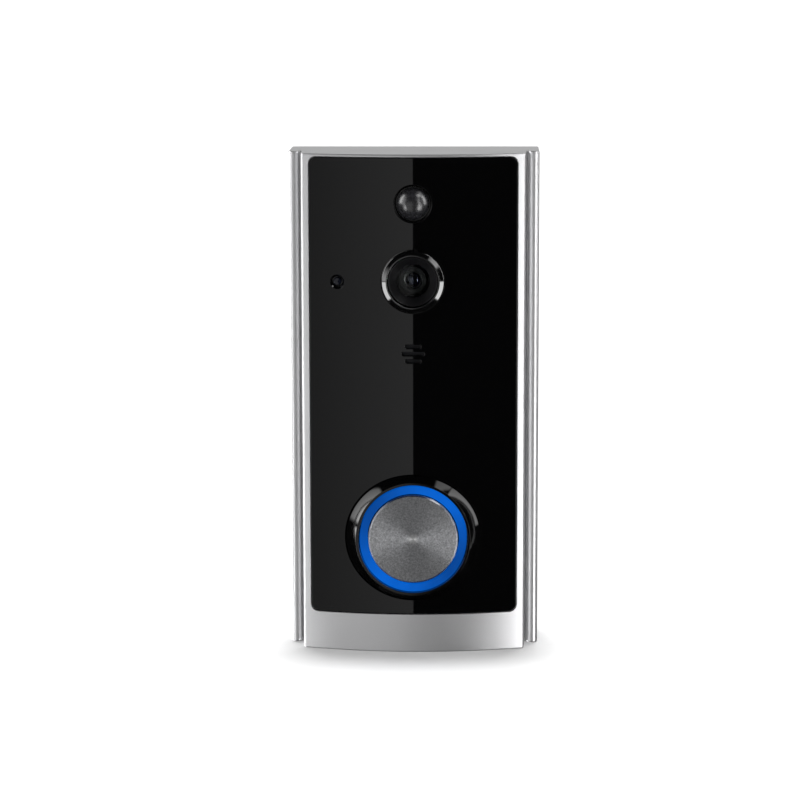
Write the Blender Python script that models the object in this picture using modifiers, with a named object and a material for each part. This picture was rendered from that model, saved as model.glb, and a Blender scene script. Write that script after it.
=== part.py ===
"""Battery video doorbell: a silver bowed housing, a black curved panel and a lit push button.

Metres, +Z up. The front faces -Y and the doorbell stands on its bottom end at Z = 0.
Every piece is placed under one empty whose origin is the crest of the bowed front at floor level,
so inside this file Y is the depth behind that crest, X is across and Z is the height.
"""
import math

import bmesh
import bpy
from mathutils import Matrix

# ---- Driving dimensions -------------------------------------------------------------------
BODY_WIDTH = 0.0700
BODY_HEIGHT = 0.1400
BODY_DEPTH = 0.0300          # crest of the bow to the rear rim of the housing
BOW_RADIUS = 0.0950          # plan radius of the bowed front
REAR_LIMIT = 0.0310          # back of the wall bracket, which stands proud of the rim
PIR_PROUD = 0.00255          # the dome is the foremost point
GAP = 0.0003                 # clearance kept between neighbouring pieces

# Plan outline of the housing
FACE_HALF = 0.0310           # half-width of the bowed face
FLANK_HALF = 0.0313          # half-width where the flank reaches the groove
GROOVE_DEPTH = 0.0138
RAIL_RADIUS = 0.00155        # rounded nose of each side rail
RAIL_FRONT = 0.0120          # foremost point of each rail
END_ROUND = 0.0004           # fillet on the top and bottom ends
WALL = 0.0018
LEDGE_BACK = 0.0042          # rear face of the ledge that carries the panel
CAVITY_FRONT_HALF = 0.0292
CAVITY_REAR_HALF = 0.0322
SEAT_DEPTH = 0.0252          # step on which the rear seal sits
SEAT_HALF = 0.0333
SEAT_WALL = 0.0012

# Front panel
PANEL_HALF = 0.02885
PANEL_BOTTOM = 0.0110
PANEL_TOP = 0.13905
PANEL_CORNER = 0.0020
PANEL_FRONT = 0.00025
PANEL_BACK = 0.00175
REBATE_MARGIN = 0.0002
REBATE_BACK = 0.0027
LEDGE_WIDTH = 0.0018

# Heights of what shows on the front
PIR_Z = 0.1264
CAMERA_Z = 0.1049
SENSOR_X = -0.0210
SENSOR_Z = 0.1046
GRILLE_Z = 0.0847
GRILLE_PITCH = 0.00205
GRILLE_LENGTHS = (0.0044, 0.0064, 0.0044)
GRILLE_HEIGHT = 0.00105
BUTTON_Z = 0.0328

# Boards and power
BOARD_FRONT = 0.0060
BOARD_BACK = 0.0072
BOARD_HALF = 0.0244
BOARD_BOTTOM = 0.0155
BOARD_TOP = 0.1335
PART_BACK = 0.0057           # rear face of whatever is soldered to the front of the main board
CELL_RADIUS = 0.0092
CELL_LENGTH = 0.0650
CELL_BOTTOM = 0.0302
CELL_X = CELL_RADIUS + GAP / 2
CELL_Y = 0.0178
BAY_HALF = 0.0189
BAY_BOTTOM = 0.0239
BAY_TOP = 0.0971
BAY_FLOOR = 0.0083
BAY_WALL = 0.0010
BAY_FRONT = 0.0075

# Rear cover, battery cover and wall bracket
REAR_FRONT = 0.0264
REAR_BACK = 0.0282
REAR_HALF = 0.0330
LID_HALF = 0.0210
LID_BOTTOM = 0.0220
LID_TOP = 0.0990
LID_FRONT = 0.0274
LID_BACK = 0.0298
BRACKET_FRONT = 0.0286
BRACKET_HALF = 0.0325
BRACKET_BOTTOM = 0.0056      # just above the locking screw's head
BRACKET_TOP = 0.1370
TONGUE_TOP_X = 0.0220        # the two tongues near the bracket's top
TONGUE_SIDE_X = 0.0280       # the two tongues at its sides
PORT_X = -0.0130
PORT_Z = 0.0140
LOCK_Y = 0.0285              # axis of the locking screw in the bottom end
LOCK_RADIUS = 0.0010         # its shank, in the housing's bottom wall
LOCK_HEAD_RADIUS = 0.0014    # its clamping head, inside the wall
LOCK_TIP = 0.0053            # height that its head reaches
BOSS_X = 0.0280
BOSS_Z = (0.0080, 0.1310)
BOSS_RADIUS = 0.0026

# Push button
CAP_RADIUS = 0.0125
CAP_FRONT = -0.00195
RING_INNER = 0.0128
RING_OUTER = 0.0150
BEZEL_BORE = 0.0153
BEZEL_LIP = -0.0021
BEZEL_SLOPE = 0.65           # growth of the flare's radius per unit of depth
BEZEL_ROOT = 0.0175          # radius of the flare where it leaves the panel's crest
BEZEL_BACK = 0.0036

SILVER = (0.78, 0.78, 0.79, 1.0)
BLACK_GLOSS = (0.008, 0.008, 0.009, 1.0)
BLACK_SATIN = (0.020, 0.020, 0.022, 1.0)
SPUN_METAL = (0.55, 0.55, 0.56, 1.0)
BLUE_GLOW = (0.010, 0.16, 0.72, 1.0)
BOARD_GREEN = (0.015, 0.10, 0.045, 1.0)
STEEL = (0.60, 0.60, 0.58, 1.0)
BRASS = (0.65, 0.45, 0.18, 1.0)
RUBBER = (0.030, 0.030, 0.030, 1.0)
CELL_WRAP = (0.05, 0.22, 0.45, 1.0)
CLEAR = (0.85, 0.88, 0.90, 1.0)


# ---- Scene helpers ------------------------------------------------------------------------
def clear_scene():
    """Remove every object so that the model starts from nothing."""
    for obj in list(bpy.data.objects):
        bpy.data.objects.remove(obj, do_unlink=True)


def make_collection(name):
    """Add an empty collection to the scene."""
    collection = bpy.data.collections.new(name)
    bpy.context.scene.collection.children.link(collection)
    return collection


clear_scene()
PARTS = make_collection("video_doorbell")
CUTTERS = make_collection("video_doorbell_cutters")
ORIGIN = bpy.data.objects.new("doorbell_origin", None)
ORIGIN.location = (0.0, (PIR_PROUD - REAR_LIMIT) / 2, 0.0)
PARTS.objects.link(ORIGIN)


def material(name, color, roughness, metallic=0.0):
    """One Principled material."""
    mat = bpy.data.materials.new(name)
    mat.use_nodes = True
    mat.diffuse_color = color
    shader = mat.node_tree.nodes["Principled BSDF"]
    shader.inputs["Base Color"].default_value = color
    shader.inputs["Roughness"].default_value = roughness
    shader.inputs["Metallic"].default_value = metallic
    return mat


def add_part(name, mesh, color, roughness, metallic=0.0, location=(0, 0, 0), turned=False):
    """Put a mesh in the model as one named piece with its own material."""
    obj = bpy.data.objects.new(name, mesh)
    obj.parent = ORIGIN
    obj.location = location
    if turned:
        obj.rotation_euler.x = math.pi / 2
    mesh.materials.append(material(name + "_finish", color, roughness, metallic))
    PARTS.objects.link(obj)
    return obj


def add_cutter(name, mesh, location=(0, 0, 0), turned=False):
    """Put a mesh among the cutters, as a wire that isn't built."""
    obj = bpy.data.objects.new(name, mesh)
    obj.parent = ORIGIN
    obj.location = location
    if turned:
        obj.rotation_euler.x = math.pi / 2
    obj.hide_render = True
    obj.display_type = "WIRE"
    CUTTERS.objects.link(obj)
    return obj


def combine(obj, other, operation="DIFFERENCE"):
    """Add one Boolean modifier."""
    mod = obj.modifiers.new(operation.lower() + "_" + other.name, "BOOLEAN")
    mod.operation = operation
    mod.solver = "EXACT"
    mod.object = other


def soften(obj, width, segments=2):
    """Round the sharp edges of a piece."""
    mod = obj.modifiers.new("edge_round", "BEVEL")
    mod.width = width
    mod.segments = segments
    mod.limit_method = "ANGLE"
    mod.angle_limit = math.radians(50)


# ---- Shapes -------------------------------------------------------------------------------
def bow(x, depth=0.0):
    """Depth of the bowed front at x, for a surface whose crest is at this depth."""
    return depth + BOW_RADIUS - math.sqrt(BOW_RADIUS ** 2 - x ** 2)


def corner(start, control, end, steps=4):
    """Points of a rounded corner, as a quadratic curve between two tangent points."""
    points = []
    for i in range(steps + 1):
        t = i / steps
        points.append(tuple((1 - t) ** 2 * a + 2 * t * (1 - t) * b + t ** 2 * c
                            for a, b, c in zip(start, control, end)))
    return points


def circle(x, y, radius, steps=24):
    """Closed outline of a round hole."""
    return [(x + radius * math.cos(2 * math.pi * i / steps),
             y + radius * math.sin(2 * math.pi * i / steps)) for i in range(steps)]


def rounded_rect(x0, x1, y0, y1, radius, steps=5):
    """Closed outline of a rectangle with round corners."""
    points = []
    centres = ((x1 - radius, y1 - radius), (x0 + radius, y1 - radius),
               (x0 + radius, y0 + radius), (x1 - radius, y0 + radius))
    for quarter, (cx, cy) in enumerate(centres):
        for i in range(steps + 1):
            angle = math.pi / 2 * (quarter + i / steps)
            points.append((cx + radius * math.cos(angle), cy + radius * math.sin(angle)))
    return points


def slot(x, y, radius, run, steps=6):
    """Closed outline of an upright slot with round ends, its straight part run long."""
    points = []
    for end, start in ((run / 2, 0.0), (-run / 2, math.pi)):
        for i in range(steps + 1):
            angle = start + math.pi * i / steps
            points.append((x + radius * math.cos(angle), y + end + radius * math.sin(angle)))
    return points


def slab(outlines, thickness):
    """Mesh of a flat outline, with its holes, extruded evenly to both sides of local Z."""
    curve = bpy.data.curves.new("outline", "CURVE")
    curve.dimensions = "2D"
    curve.fill_mode = "BOTH"
    curve.extrude = thickness / 2
    for points in outlines:
        spline = curve.splines.new("POLY")
        spline.points.add(len(points) - 1)
        for point, (x, y) in zip(spline.points, points):
            point.co = (x, y, 0.0, 1.0)
        spline.use_cyclic_u = True
    holder = bpy.data.objects.new("outline", curve)
    bpy.context.scene.collection.objects.link(holder)
    bpy.context.view_layer.update()
    graph = bpy.context.evaluated_depsgraph_get()
    mesh = bpy.data.meshes.new_from_object(holder.evaluated_get(graph))
    bpy.data.objects.remove(holder, do_unlink=True)
    bm = bmesh.new()
    bm.from_mesh(mesh)
    bmesh.ops.remove_doubles(bm, verts=bm.verts, dist=1e-6)
    bmesh.ops.recalc_face_normals(bm, faces=bm.faces)
    bm.to_mesh(mesh)
    bm.free()
    return mesh


def upright(outlines, bottom, top):
    """Mesh of a plan outline in X and depth, extruded from one height to another."""
    mesh = slab(outlines, top - bottom)
    mesh.transform(translation(0, 0, (bottom + top) / 2))
    return mesh


def facing(outlines, front, back):
    """Mesh of a front outline in X and height, extruded from one depth to another."""
    mesh = slab(outlines, back - front)
    mesh.transform(translation(0, (front + back) / 2, 0) @ quarter_turn())
    return mesh


def translation(x, y, z):
    """Matrix of a move."""
    return Matrix.Translation((x, y, z))


def quarter_turn():
    """Matrix that stands a flat outline upright, its local Y becoming height."""
    return Matrix.Rotation(math.pi / 2, 4, "X")


def smooth(mesh, degrees=35):
    """Shade round faces smooth and keep real edges sharp."""
    mesh.shade_smooth()
    mesh.set_sharp_from_angle(angle=math.radians(degrees))
    return mesh


def block(x0, x1, y0, y1, z0, z1):
    """Mesh of a box between two corners."""
    mesh = bpy.data.meshes.new("block")
    bm = bmesh.new()
    bmesh.ops.create_cube(bm, size=1.0)
    bmesh.ops.scale(bm, vec=(x1 - x0, y1 - y0, z1 - z0), verts=bm.verts)
    bmesh.ops.translate(bm, vec=((x0 + x1) / 2, (y0 + y1) / 2, (z0 + z1) / 2), verts=bm.verts)
    bm.to_mesh(mesh)
    bm.free()
    return mesh


def peg(radius, front, back, steps=24):
    """Mesh of a round peg along the depth, its axis at X = Z = 0."""
    mesh = bpy.data.meshes.new("peg")
    bm = bmesh.new()
    bmesh.ops.create_cone(bm, cap_ends=True, segments=steps, radius1=radius, radius2=radius,
                          depth=back - front)
    bm.to_mesh(mesh)
    bm.free()
    mesh.transform(translation(0, (front + back) / 2, 0) @ quarter_turn())
    return smooth(mesh)


def profile_mesh(points, closed):
    """Mesh of a turned profile's edges: radius along X, depth downwards."""
    mesh = bpy.data.meshes.new("profile")
    bm = bmesh.new()
    verts = [bm.verts.new((radius, 0.0, -depth)) for radius, depth in points]
    for a, b in zip(verts, verts[1:]):
        bm.edges.new((a, b))
    if closed:
        bm.edges.new((verts[-1], verts[0]))
    bm.to_mesh(mesh)
    bm.free()
    return mesh


def spin(obj, steps):
    """Turn an object's profile about its local Z."""
    mod = obj.modifiers.new("turn", "SCREW")
    mod.axis = "Z"
    mod.angle = 2 * math.pi
    mod.steps = steps
    mod.render_steps = steps
    mod.use_merge_vertices = True
    mod.merge_threshold = 0.00001
    mod.use_smooth_shade = True


def turned_part(name, points, location, color, roughness, metallic=0.0, closed=False, steps=28):
    """A turned piece whose axis runs along the depth; points are (radius, depth), front first."""
    mesh = profile_mesh(points, closed)
    obj = add_part(name, mesh, color, roughness, metallic, location, turned=True)
    spin(obj, steps)
    return obj


def turned_cutter(name, points, location, steps=28):
    """A turned cutter whose axis runs along the depth."""
    obj = add_cutter(name, profile_mesh(points, False), location, turned=True)
    spin(obj, steps)
    return obj


def bowed_slab(front, back, half, bottom, top):
    """Mesh of a slab whose front and back both follow the bow."""
    steps = 24
    xs = [half * (2 * i / steps - 1) for i in range(steps + 1)]
    outline = [(x, bow(x, front)) for x in xs] + [(x, bow(x, back)) for x in reversed(xs)]
    return upright([outline], bottom, top)


# ---- Housing ------------------------------------------------------------------------------
def housing_outline():
    """Plan outline: bowed face, drafted flanks, grooves and rounded rails."""
    face_steps = 10
    edge = 0.0009
    half = [(x, bow(x)) for x in (i * (FACE_HALF - edge) / face_steps for i in range(face_steps + 1))]
    flank_start = (FACE_HALF, bow(FACE_HALF) + edge)
    half += corner(half[-1], (FACE_HALF, bow(FACE_HALF)), flank_start)[1:]
    nose_x = BODY_WIDTH / 2 - RAIL_RADIUS
    nose_y = RAIL_FRONT + RAIL_RADIUS
    half += [(FLANK_HALF, GROOVE_DEPTH - 0.0001), (nose_x - RAIL_RADIUS, GROOVE_DEPTH)]
    nose_steps = 6
    for i in range(nose_steps + 1):
        angle = math.pi * (1 + i / nose_steps)
        half.append((nose_x + RAIL_RADIUS * math.cos(angle), nose_y + RAIL_RADIUS * math.sin(angle)))
    rim = 0.0008
    half += corner((BODY_WIDTH / 2, BODY_DEPTH - rim), (BODY_WIDTH / 2, BODY_DEPTH),
                   (BODY_WIDTH / 2 - rim, BODY_DEPTH), 3)
    return half + [(-x, y) for x, y in reversed(half) if x > 0]


def cavity_outline():
    """Plan outline of the hollow behind the ledge, open through the rear."""
    steps = 12
    xs = [CAVITY_FRONT_HALF * i / steps for i in range(steps + 1)]
    half = [(x, bow(x, LEDGE_BACK)) for x in xs]
    half += [(CAVITY_FRONT_HALF, GROOVE_DEPTH + WALL / 2), (CAVITY_REAR_HALF, GROOVE_DEPTH + WALL),
             (CAVITY_REAR_HALF, REAR_LIMIT)]
    return half + [(-x, y) for x, y in reversed(half) if x > 0]


def round_ends(mesh, radius):
    """Fillet the edges between a prism's two flat ends and its sides."""
    bm = bmesh.new()
    bm.from_mesh(mesh)
    bmesh.ops.dissolve_limit(bm, angle_limit=0.001, verts=bm.verts, edges=bm.edges)
    bm.normal_update()
    rims = [e for e in bm.edges if len(e.link_faces) == 2
            and sorted(round(abs(f.normal.z)) for f in e.link_faces) == [0, 1]]
    bmesh.ops.bevel(bm, geom=rims, offset=radius, segments=2, profile=0.5, affect="EDGES")
    bmesh.ops.triangulate(bm, faces=[f for f in bm.faces if len(f.verts) > 4], ngon_method="BEAUTY")
    bm.to_mesh(mesh)
    bm.free()


def rebate_cutter():
    """Pocket for the panel: a front outline whose floor follows the bow."""
    outline = rounded_rect(-PANEL_HALF - REBATE_MARGIN, PANEL_HALF + REBATE_MARGIN,
                           PANEL_BOTTOM - REBATE_MARGIN, PANEL_TOP + REBATE_MARGIN,
                           PANEL_CORNER + REBATE_MARGIN)
    pocket = add_cutter("cut_rebate", facing([outline], -0.004, 0.010))
    floor = bowed_slab(-0.006, REBATE_BACK, FACE_HALF, 0.0, BODY_HEIGHT + 0.002)
    combine(pocket, add_cutter("cut_rebate_floor", floor), "INTERSECT")
    return pocket


def front_housing():
    """Silver shell: one extruded section with closed ends, bosses and the panel's rebate."""
    mesh = upright([housing_outline()], 0.0, BODY_HEIGHT)
    round_ends(mesh, END_ROUND)
    housing = add_part("front_housing", smooth(mesh), SILVER, 0.32, 0.9)
    hollow = upright([cavity_outline()], WALL, BODY_HEIGHT - WALL)
    combine(housing, add_cutter("cut_hollow", hollow))
    seat = block(-SEAT_HALF, SEAT_HALF, SEAT_DEPTH, REAR_LIMIT, SEAT_WALL, BODY_HEIGHT - SEAT_WALL)
    combine(housing, add_cutter("cut_rear_seat", seat))
    combine(housing, rebate_cutter())
    window = rounded_rect(LEDGE_WIDTH - PANEL_HALF, PANEL_HALF - LEDGE_WIDTH,
                          PANEL_BOTTOM + LEDGE_WIDTH, PANEL_TOP - LEDGE_WIDTH, PANEL_CORNER)
    combine(housing, add_cutter("cut_window", facing([window], -0.004, 0.012)))
    for side in (-1, 1):
        for level, height in enumerate(BOSS_Z):
            tag = f"{'left' if side < 0 else 'right'}_{level}"
            web = block(min(side * BOSS_X, side * SEAT_HALF), max(side * BOSS_X, side * SEAT_HALF),
                        0.0162, SEAT_DEPTH - 0.0004, height - 0.0015, height + 0.0015)
            combine(housing, add_cutter("web_" + tag, web), "UNION")
            boss = peg(BOSS_RADIUS, 0.0090, 0.0261)
            combine(housing, add_cutter("boss_" + tag, boss, (side * BOSS_X, 0, height)), "UNION")
            bore = peg(0.0014, 0.0195, 0.0280)
            combine(housing, add_cutter("bore_" + tag, bore, (side * BOSS_X, 0, height)))
    grub_hole = peg(LOCK_RADIUS + 0.0002, -0.0020, 0.0020)
    grub_hole.transform(quarter_turn())
    combine(housing, add_cutter("cut_grub_hole", grub_hole, (0, LOCK_Y, 0)))
    pinhole = peg(0.0005, -0.0010, 0.0030, 12)
    pinhole.transform(quarter_turn())
    combine(housing, add_cutter("cut_mic_pinhole", pinhole, (0.0180, 0.0187, 0)))


def front_panel():
    """Glossy black panel that follows the bow, pierced for everything that shows."""
    outline = rounded_rect(-PANEL_HALF, PANEL_HALF, PANEL_BOTTOM, PANEL_TOP, PANEL_CORNER)
    mesh = bowed_slab(PANEL_FRONT, PANEL_BACK, FACE_HALF, PANEL_BOTTOM - 0.001, PANEL_TOP + 0.001)
    panel = add_part("front_panel", smooth(mesh), BLACK_GLOSS, 0.06)
    shape = add_cutter("trim_panel", facing([outline], -0.004, 0.012))
    combine(panel, shape, "INTERSECT")
    combine(panel, turned_cutter("cut_pir", [(0, -0.0008), (0.0062, -0.0008), (0.00475, 0.00095),
                                             (0.00475, 0.0035), (0, 0.0035)], (0, 0, PIR_Z), 24))
    combine(panel, add_cutter("cut_camera", peg(0.00885, -0.001, 0.005, 32), (0, 0, CAMERA_Z)))
    dip = bow(SENSOR_X, PANEL_FRONT)
    sensor = [(0, dip - 0.0010), (0.00285, dip - 0.0010), (0.00145, dip + 0.0007),
              (0.00145, dip + 0.0030), (0, dip + 0.0030)]
    combine(panel, turned_cutter("cut_sensor", sensor, (SENSOR_X, 0, SENSOR_Z), 16))
    for row, length in enumerate(GRILLE_LENGTHS):
        height = GRILLE_Z + (1 - row) * GRILLE_PITCH
        opening = rounded_rect(-length / 2, length / 2, height - GRILLE_HEIGHT / 2,
                               height + GRILLE_HEIGHT / 2, GRILLE_HEIGHT * 0.48, 4)
        combine(panel, add_cutter(f"cut_slot_{row}", facing([opening], -0.001, 0.004)))
    hole = [(0, -0.0030), (flare_radius(-0.0030) + GAP, -0.0030), (flare_radius(0.0045) + GAP, 0.0045),
            (0, 0.0045)]
    combine(panel, turned_cutter("cut_button", hole, (0, 0, BUTTON_Z), 40))


def panel_gasket():
    """Thin adhesive foam frame between the panel and its ledge."""
    edge = 0.0002
    outer = rounded_rect(edge - PANEL_HALF, PANEL_HALF - edge, PANEL_BOTTOM + edge, PANEL_TOP - edge,
                         PANEL_CORNER)
    width = 0.0013
    inner = rounded_rect(width - PANEL_HALF, PANEL_HALF - width, PANEL_BOTTOM + width,
                         PANEL_TOP - width, PANEL_CORNER)
    mesh = bowed_slab(0.00205, 0.00240, FACE_HALF, PANEL_BOTTOM - 0.001, PANEL_TOP + 0.001)
    gasket = add_part("panel_gasket", mesh, RUBBER, 0.9)
    combine(gasket, add_cutter("trim_gasket", facing([outer, inner], -0.004, 0.012)), "INTERSECT")


# ---- Sensors and camera -------------------------------------------------------------------
def pir_parts():
    """Domed motion-sensor lens, its collar and the sensor can behind it."""
    outer, inner = 0.0046, 0.0039
    centre = outer - PIR_PROUD
    skirt, mouth = 0.00445, 0.0037
    arc_steps = 5
    limit = math.asin(skirt / outer)
    dome = [(outer * math.sin(limit * i / arc_steps), centre - outer * math.cos(limit * i / arc_steps))
            for i in range(arc_steps + 1)]
    dome += [(skirt, 0.00225), (0.0060, 0.00225), (0.0060, 0.00295), (mouth, 0.00295)]
    limit = math.asin(mouth / inner)
    dome += [(inner * math.sin(limit * i / arc_steps), centre - inner * math.cos(limit * i / arc_steps))
             for i in range(arc_steps, -1, -1)]
    turned_part("pir_lens", dome, (0, 0, PIR_Z), BLACK_SATIN, 0.25, steps=24)
    collar = [(0.0046, 0.00325), (0.0058, 0.00325), (0.0058, PART_BACK), (0.0046, PART_BACK)]
    turned_part("pir_collar", collar, (0, 0, PIR_Z), BLACK_SATIN, 0.6, closed=True, steps=16)
    can = [(0, 0.0026), (0.0027, 0.0026), (0.0029, 0.0028), (0.0029, 0.0052), (0.0034, 0.0052),
           (0.0034, PART_BACK), (0, PART_BACK)]
    turned_part("pir_sensor", can, (0, 0, PIR_Z), STEEL, 0.3, 1.0, steps=16)


def camera_parts():
    """Bezel, hood, window, barrel, front lens and image-sensor holder."""
    place = (0, 0, CAMERA_Z)
    crest = [(0.00715, -0.0010), (0.0073, -0.0013), (0.0076, -0.0013), (0.0081, -0.0009),
             (0.0085, -0.0005), (0.0086, 0.0001)]
    bezel = crest + [(0.0086, 0.0027), (0.0102, 0.0027), (0.0102, 0.0034), (0.0073, 0.0034)]
    turned_part("camera_bezel", bezel, place, BLACK_GLOSS, 0.08, closed=True)
    hood = [(0.00465, 0.0025), (0.0067, -0.0003), (0.00695, 0.0), (0.00695, 0.0042), (0.0052, 0.0042),
            (0.0052, 0.0028), (0.00465, 0.0028)]
    turned_part("lens_hood", hood, place, BLACK_SATIN, 0.35, closed=True)
    glass = add_part("camera_window", peg(0.00495, 0.0031, 0.0038, 24), CLEAR, 0.02, 0.0, place)
    glass.active_material.node_tree.nodes["Principled BSDF"].inputs["Transmission Weight"].default_value = 1.0
    barrel = [(0, 0.0061), (0.00225, 0.0061), (0.00225, 0.0043), (0.0036, 0.0043), (0.0036, 0.0100),
              (0, 0.0100)]
    turned_part("lens_barrel", barrel, place, BLACK_SATIN, 0.45, steps=20)
    lens = [(0, 0.0046), (0.0007, 0.00464), (0.0013, 0.00478), (0.00195, 0.0051), (0.00195, 0.0058),
            (0, 0.0058)]
    turned_part("front_lens", lens, place, (0.02, 0.02, 0.05, 1.0), 0.03, steps=16)
    holder = block(-0.005, 0.005, 0.0103, 0.0148, -0.005, 0.005)
    add_part("camera_holder", holder, BLACK_SATIN, 0.6, 0.0, place)


def light_sensor_parts():
    """Light pipe behind the small hole, and the sensor on the board."""
    place = (SENSOR_X, 0, SENSOR_Z)
    tip = bow(SENSOR_X, PANEL_FRONT) + 0.0009
    pipe = [(0, tip), (0.0009, tip + 0.00015), (0.00115, tip + 0.0004), (0.00115, 0.0048), (0.0018, 0.0048),
            (0.0018, 0.0052), (0, 0.0052)]
    turned_part("light_pipe", pipe, place, (0.05, 0.06, 0.10, 1.0), 0.1, steps=16)
    chip = block(-0.001, 0.001, 0.0054, 0.0058, -0.001, 0.001)
    add_part("light_sensor", chip, CLEAR, 0.3, 0.0, place)


def sound_parts():
    """Acoustic mesh and speaker behind the slots, and the microphone by the bottom end."""
    place = (0, 0, GRILLE_Z)
    add_part("speaker_mesh", peg(0.0044, 0.0021, 0.0024), STEEL, 0.6, 0.8, place)
    speaker = add_part("speaker", block(-0.0075, 0.0075, 0.0027, 0.0056, -0.0055, 0.0055),
                       BLACK_SATIN, 0.5, 0.0, place)
    soften(speaker, 0.0005, 1)
    add_part("microphone", block(0.0161, 0.0199, 0.0183, 0.0191, 0.0034, 0.0064), STEEL, 0.3, 1.0)


# ---- Push button --------------------------------------------------------------------------
def flare_radius(depth):
    """Outer radius of the button's bezel at a depth."""
    return BEZEL_ROOT + BEZEL_SLOPE * (depth - PANEL_FRONT)


def button_parts():
    """Flared bezel, blue light guide, metal cap on its carrier, return spring and switch."""
    place = (0, 0, BUTTON_Z)
    flare_end = 0.0029
    lip = 0.00018
    bezel = [(BEZEL_BORE, BEZEL_LIP + lip), (BEZEL_BORE + lip, BEZEL_LIP),
             (flare_radius(BEZEL_LIP), BEZEL_LIP + lip / 2), (flare_radius(flare_end), flare_end),
             (flare_radius(flare_end), BEZEL_BACK), (BEZEL_BORE, BEZEL_BACK)]
    turned_part("button_bezel", bezel, place, BLACK_GLOSS, 0.08, closed=True, steps=36)
    edge = 0.0002
    front, back = -0.00155, 0.0034
    guide = [(RING_INNER, front + edge), (RING_INNER + edge, front), (RING_OUTER - edge, front),
             (RING_OUTER, front + edge), (RING_OUTER, back), (RING_INNER, back)]
    turned_part("light_ring", guide, place, BLUE_GLOW, 0.3, closed=True, steps=36)
    cap = [(0, CAP_FRONT), (CAP_RADIUS - 0.0004, CAP_FRONT), (CAP_RADIUS, CAP_FRONT + 0.00035),
           (CAP_RADIUS, CAP_FRONT + 0.0010), (0, CAP_FRONT + 0.0010)]
    turned_part("button_cap", cap, place, SPUN_METAL, 0.35, 1.0, steps=36)
    carrier = [(0, -0.00065), (0.0120, -0.00065), (0.0120, 0.0018), (0.0112, 0.0018), (0.0112, 0.00035),
               (0.0024, 0.00035), (0.0024, 0.0024), (0, 0.0024)]
    turned_part("button_carrier", carrier, place, BLACK_SATIN, 0.5, steps=24)
    button_spring(place, 0.0049, 0.0002, 0.00085, 0.0055, 3)
    switch = add_part("switch_body", block(-0.003, 0.003, 0.0034, PART_BACK, -0.003, 0.003),
                      BLACK_SATIN, 0.5, 0.0, place)
    combine(switch, add_cutter("cut_switch", peg(0.0020, 0.0030, 0.0053), place))
    plunger = [(0, 0.0027), (0.0015, 0.0027), (0.0017, 0.0029), (0.0017, 0.0046), (0, 0.0046)]
    turned_part("switch_plunger", plunger, place, (0.75, 0.75, 0.72, 1.0), 0.5, steps=20)
    for number in range(4):
        angle = math.pi * (0.25 + 0.5 * number)
        centre = (RING_INNER + RING_OUTER) / 2
        spot = (centre * math.cos(angle), 0, BUTTON_Z + centre * math.sin(angle))
        add_part(f"ring_led_{number + 1}", block(-0.001, 0.001, 0.0049, PART_BACK, -0.0006, 0.0006),
                 CLEAR, 0.3, 0.0, spot)


def coil_mesh(radius_start, radius_end, wire, start, end, turns):
    """Mesh of a coil along local Z with its wire's ends closed."""
    steps = 10
    count = turns * steps
    curve = bpy.data.curves.new("coil", "CURVE")
    curve.dimensions = "3D"
    curve.bevel_depth = wire
    curve.bevel_resolution = 1
    curve.use_fill_caps = True
    spline = curve.splines.new("POLY")
    spline.points.add(count)
    for i, point in enumerate(spline.points):
        t = i / count
        radius = radius_start + (radius_end - radius_start) * t
        angle = 2 * math.pi * turns * t
        point.co = (radius * math.cos(angle), radius * math.sin(angle), start + (end - start) * t, 1.0)
    holder = bpy.data.objects.new("coil", curve)
    bpy.context.scene.collection.objects.link(holder)
    bpy.context.view_layer.update()
    graph = bpy.context.evaluated_depsgraph_get()
    mesh = bpy.data.meshes.new_from_object(holder.evaluated_get(graph))
    bpy.data.objects.remove(holder, do_unlink=True)
    bm = bmesh.new()
    bm.from_mesh(mesh)
    bmesh.ops.remove_doubles(bm, verts=bm.verts, dist=1e-6)
    bmesh.ops.recalc_face_normals(bm, faces=bm.faces)
    bm.to_mesh(mesh)
    bm.free()
    return smooth(mesh, 60)


def button_spring(place, radius, wire, front, back, turns):
    """Return spring between the carrier and the board."""
    mesh = coil_mesh(radius, radius, wire, front, back, turns)
    mesh.transform(quarter_turn().inverted())
    add_part("button_spring", mesh, STEEL, 0.3, 1.0, place)


# ---- Boards and what they carry -----------------------------------------------------------
def main_board_parts():
    """Main board, its shield can, night lights, antenna and two screws."""
    outline = rounded_rect(-BOARD_HALF, BOARD_HALF, BOARD_BOTTOM, BOARD_TOP, 0.0015, 3)
    screw_x, screw_z = 0.0222, 0.0600
    holes = [circle(0, CAMERA_Z, 0.0052), circle(-screw_x, screw_z, 0.0013, 16),
             circle(screw_x, screw_z, 0.0013, 16)]
    add_part("main_board", facing([outline] + holes, BOARD_FRONT, BOARD_BACK), BOARD_GREEN, 0.4)
    can = add_part("processor_shield", block(-0.011, 0.011, 0.0046, PART_BACK, 0.0600, 0.0780),
                   STEEL, 0.3, 1.0)
    soften(can, 0.0003, 1)
    for side, name in ((-1, "left"), (1, "right")):
        lamp = block(-0.00175, 0.00175, 0.0037, PART_BACK, -0.0014, 0.0014)
        add_part("infrared_led_" + name, lamp, CLEAR, 0.2, 0.0, (side * 0.0140, 0, CAMERA_Z))
        screw = [(0, 0.0048), (0.0016, 0.0048), (0.0020, 0.0052), (0.0020, PART_BACK), (0.0010, PART_BACK),
                 (0.0010, 0.0140), (0, 0.0140)]
        turned_part("board_screw_" + name, screw, (side * screw_x, 0, screw_z), STEEL, 0.3, 1.0, steps=12)
    add_part("wifi_antenna", block(-0.020, 0.020, 0.0140, 0.0200, 0.1354, 0.1360), BRASS, 0.4, 0.8)


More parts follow.
